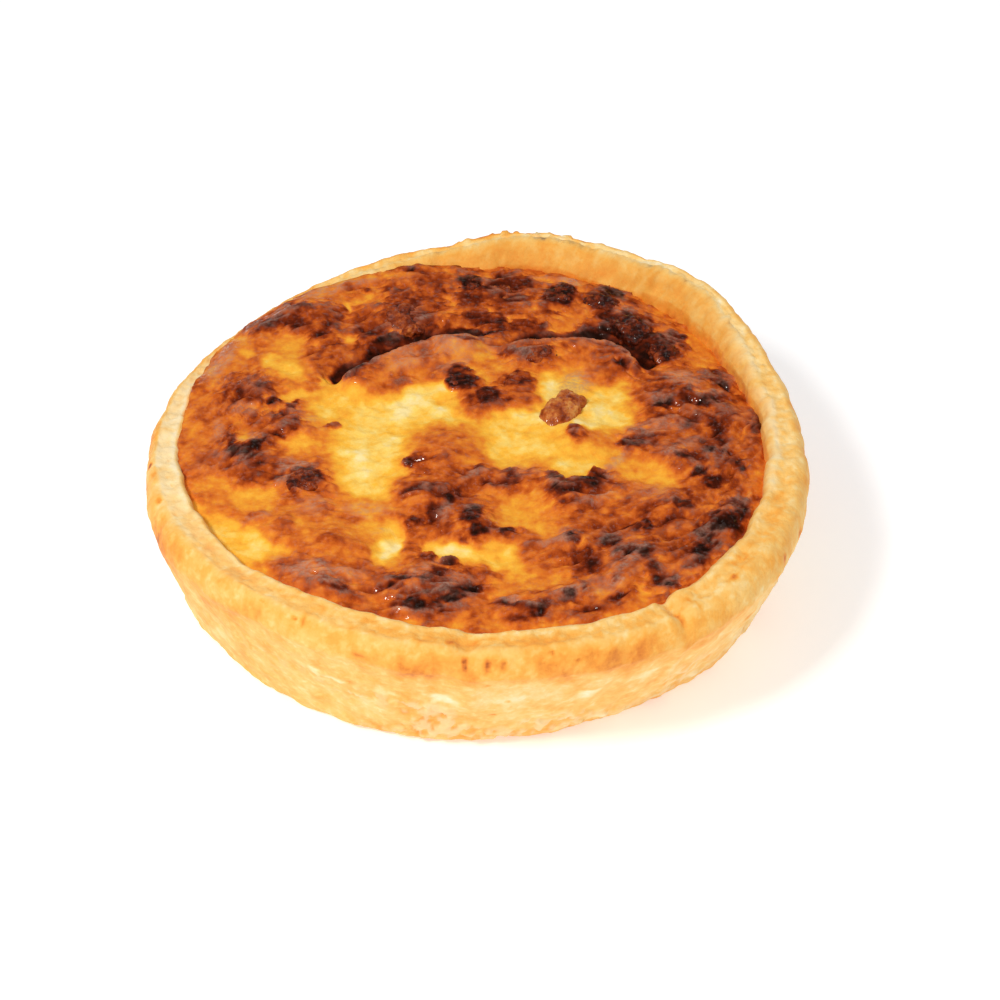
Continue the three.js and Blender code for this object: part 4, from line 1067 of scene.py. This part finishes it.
def makeFilling():
    rings, share, angle, x, y, edgeZ = plugPlan()
    z, trench, crest = broadSkin(x, y)
    mound, stain = roundBacon(x, y)
    edge = ease(share, eggFilling["edgeCalm"], 1)
    z = mix(z, edgeZ, edge) + mound * (1 - edge)
    raised, bakeAndShading, fatAndSheen, wet = bakedSkin(x, y, z, trench, crest, stain)
    z += raised - 0.3 * edge * ease(share, 0.97, 1)

    around, clearance = 6 * rings, eggFilling["footClearance"]
    rim, bottom = angle[-around:], pastryCase["floorThickness"] + clearance
    footRadius = innerRadius(rim, bottom) - clearance
    side = np.stack([footRadius * np.cos(rim), footRadius * np.sin(rim), np.full(around, bottom)], axis=1)
    points = np.vstack([np.stack([x, y, z], axis=1), side, [(0, 0, bottom)]])
    attributes = {"bakeAndShading": bakeAndShading, "fatAndSheen": fatAndSheen, "wet": wet}
    for name, values in attributes.items():
        attributes[name] = np.append(np.clip(values, 0, 1), np.full(around + 1, 0.3))
    material = makeBrownedCustard()
    filling = makePiece("eggAndCheeseFilling", points, plugFaces(rings), attributes, material)
    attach(filling, "root")
    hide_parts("filling")
    print("filling made:", len(filling.data.polygons), "faces")


makeFilling()


# The bacon

baconShape = {
    "boxiness": 0.84,  # 1 is an ellipsoid, and less is squarer
    "grains": [(0.45, 1.5, 62), (0.34, 0.8, 63), (0.16, 0.45, 66)],  # height, size in mm and seed
    "swelling": [(0.45, 3, 61)],
    "unlike": 37,  # mm between the places in the noise that two pieces are made from
}


def makeFriedBacon():
    # Cured pork, cut in dice and baked in the open: seared lean meat, wet with its own fat, which
    # glints, with pinkish patches where it is less done.
    material, tree = newMaterial("friedBacon")
    place = addNode(tree, "TexCoord").outputs["Object"]
    sear = addNode(tree, "Attribute", attribute_name="sear").outputs["Fac"]
    fibre = addNode(tree, "TexNoise", {
        "Vector": place, "Scale": perMetre(0.9), "Detail": 4, "Roughness": 0.65,
    })
    crumbs = addNode(tree, "TexNoise", {"Vector": place, "Scale": perMetre(0.55), "Detail": 2})
    fibred = addNode(tree, "Math", {0: fibre.outputs["Fac"], 1: 0.6, 2: sear}, operation="MULTIPLY_ADD")
    crumbed = addNode(tree, "Math", {0: crumbs.outputs["Fac"], 1: 0.4, 2: fibred.outputs[0]},
                      operation="MULTIPLY_ADD")
    level = addNode(tree, "Math", {0: crumbed.outputs[0], 1: 0.5}, operation="SUBTRACT")
    seared = addNode(tree, "ValToRGB", {"Fac": level.outputs[0]}, [
        (0.05, "dc9850"), (0.22, "c26a30"), (0.38, "a0481e"), (0.52, "7e3012"), (0.66, "541c0a"),
        (0.8, "2e0e06"), (1, "140604"),
    ])
    wet = addNode(tree, "TexNoise", {"Vector": place, "Scale": perMetre(0.8), "Detail": 2})
    fat = addNode(tree, "MapRange", {0: wet.outputs["Fac"], 1: 0.53, 2: 0.63, 3: 0.05, 4: 1})
    bump = addNode(tree, "Bump", {
        "Height": fibre.outputs["Fac"], "Strength": 0.8, "Distance": 0.4 * millimetre,
    })
    shader = addNode(tree, "BsdfPrincipled", {
        "Base Color": seared.outputs["Color"], "Roughness": 0.34, "Normal": bump.outputs["Normal"],
        "IOR": 1.44, "Specular IOR Level": 0.08, "Coat Weight": fat.outputs[0], "Coat Roughness": 0.09,
    })
    addNode(tree, "OutputMaterial", {"Surface": shader.outputs["BSDF"]})
    return material


def sphereMesh():
    ball = bmesh.new()
    bmesh.ops.create_icosphere(ball, subdivisions=5, radius=1)
    points = np.array([v.co[:] for v in ball.verts])
    faces = [tuple(v.index for v in face.verts) for face in ball.faces]
    ball.free()
    return points, faces


def makeBacon():
    material = makeFriedBacon()
    ball, faces = sphereMesh()
    for number, (node, (length, width, height, turn, searing, rough)) in enumerate(baconDice.items()):
        low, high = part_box(node)
        middle = (np.array(low) + np.array(high)) / 2 / millimetre
        halfSize = (length / 2, width / 2, height / 2)
        block = np.sign(ball) * np.abs(ball) ** baconShape["boxiness"] * halfSize
        lumps = block + baconShape["unlike"] * number
        grains = layered(lumps, baconShape["grains"])
        swell = layered(lumps, baconShape["swelling"]) + rough * grains
        block = block + ball * swell[:, None]
        x, y = turned(block[:, 0], block[:, 1], -turn)
        points = np.stack([x, y, block[:, 2]], axis=1) + middle + (*outlineMiddle, 0)
        sear = searing + 0.22 * noise(lumps, 2.4, 64) - 0.25 * rough * grains
        piece = makePiece("fried_" + node, points, faces, {"sear": np.clip(sear, 0, 1)}, material)
        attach(piece, "root")
        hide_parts(node)
    print("bacon made:", len(baconDice), "pieces")


makeBacon()

lowest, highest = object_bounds()
sizes = {"cad": [list(corner) for corner in cadBox], "visual": [list(lowest), list(highest)]}
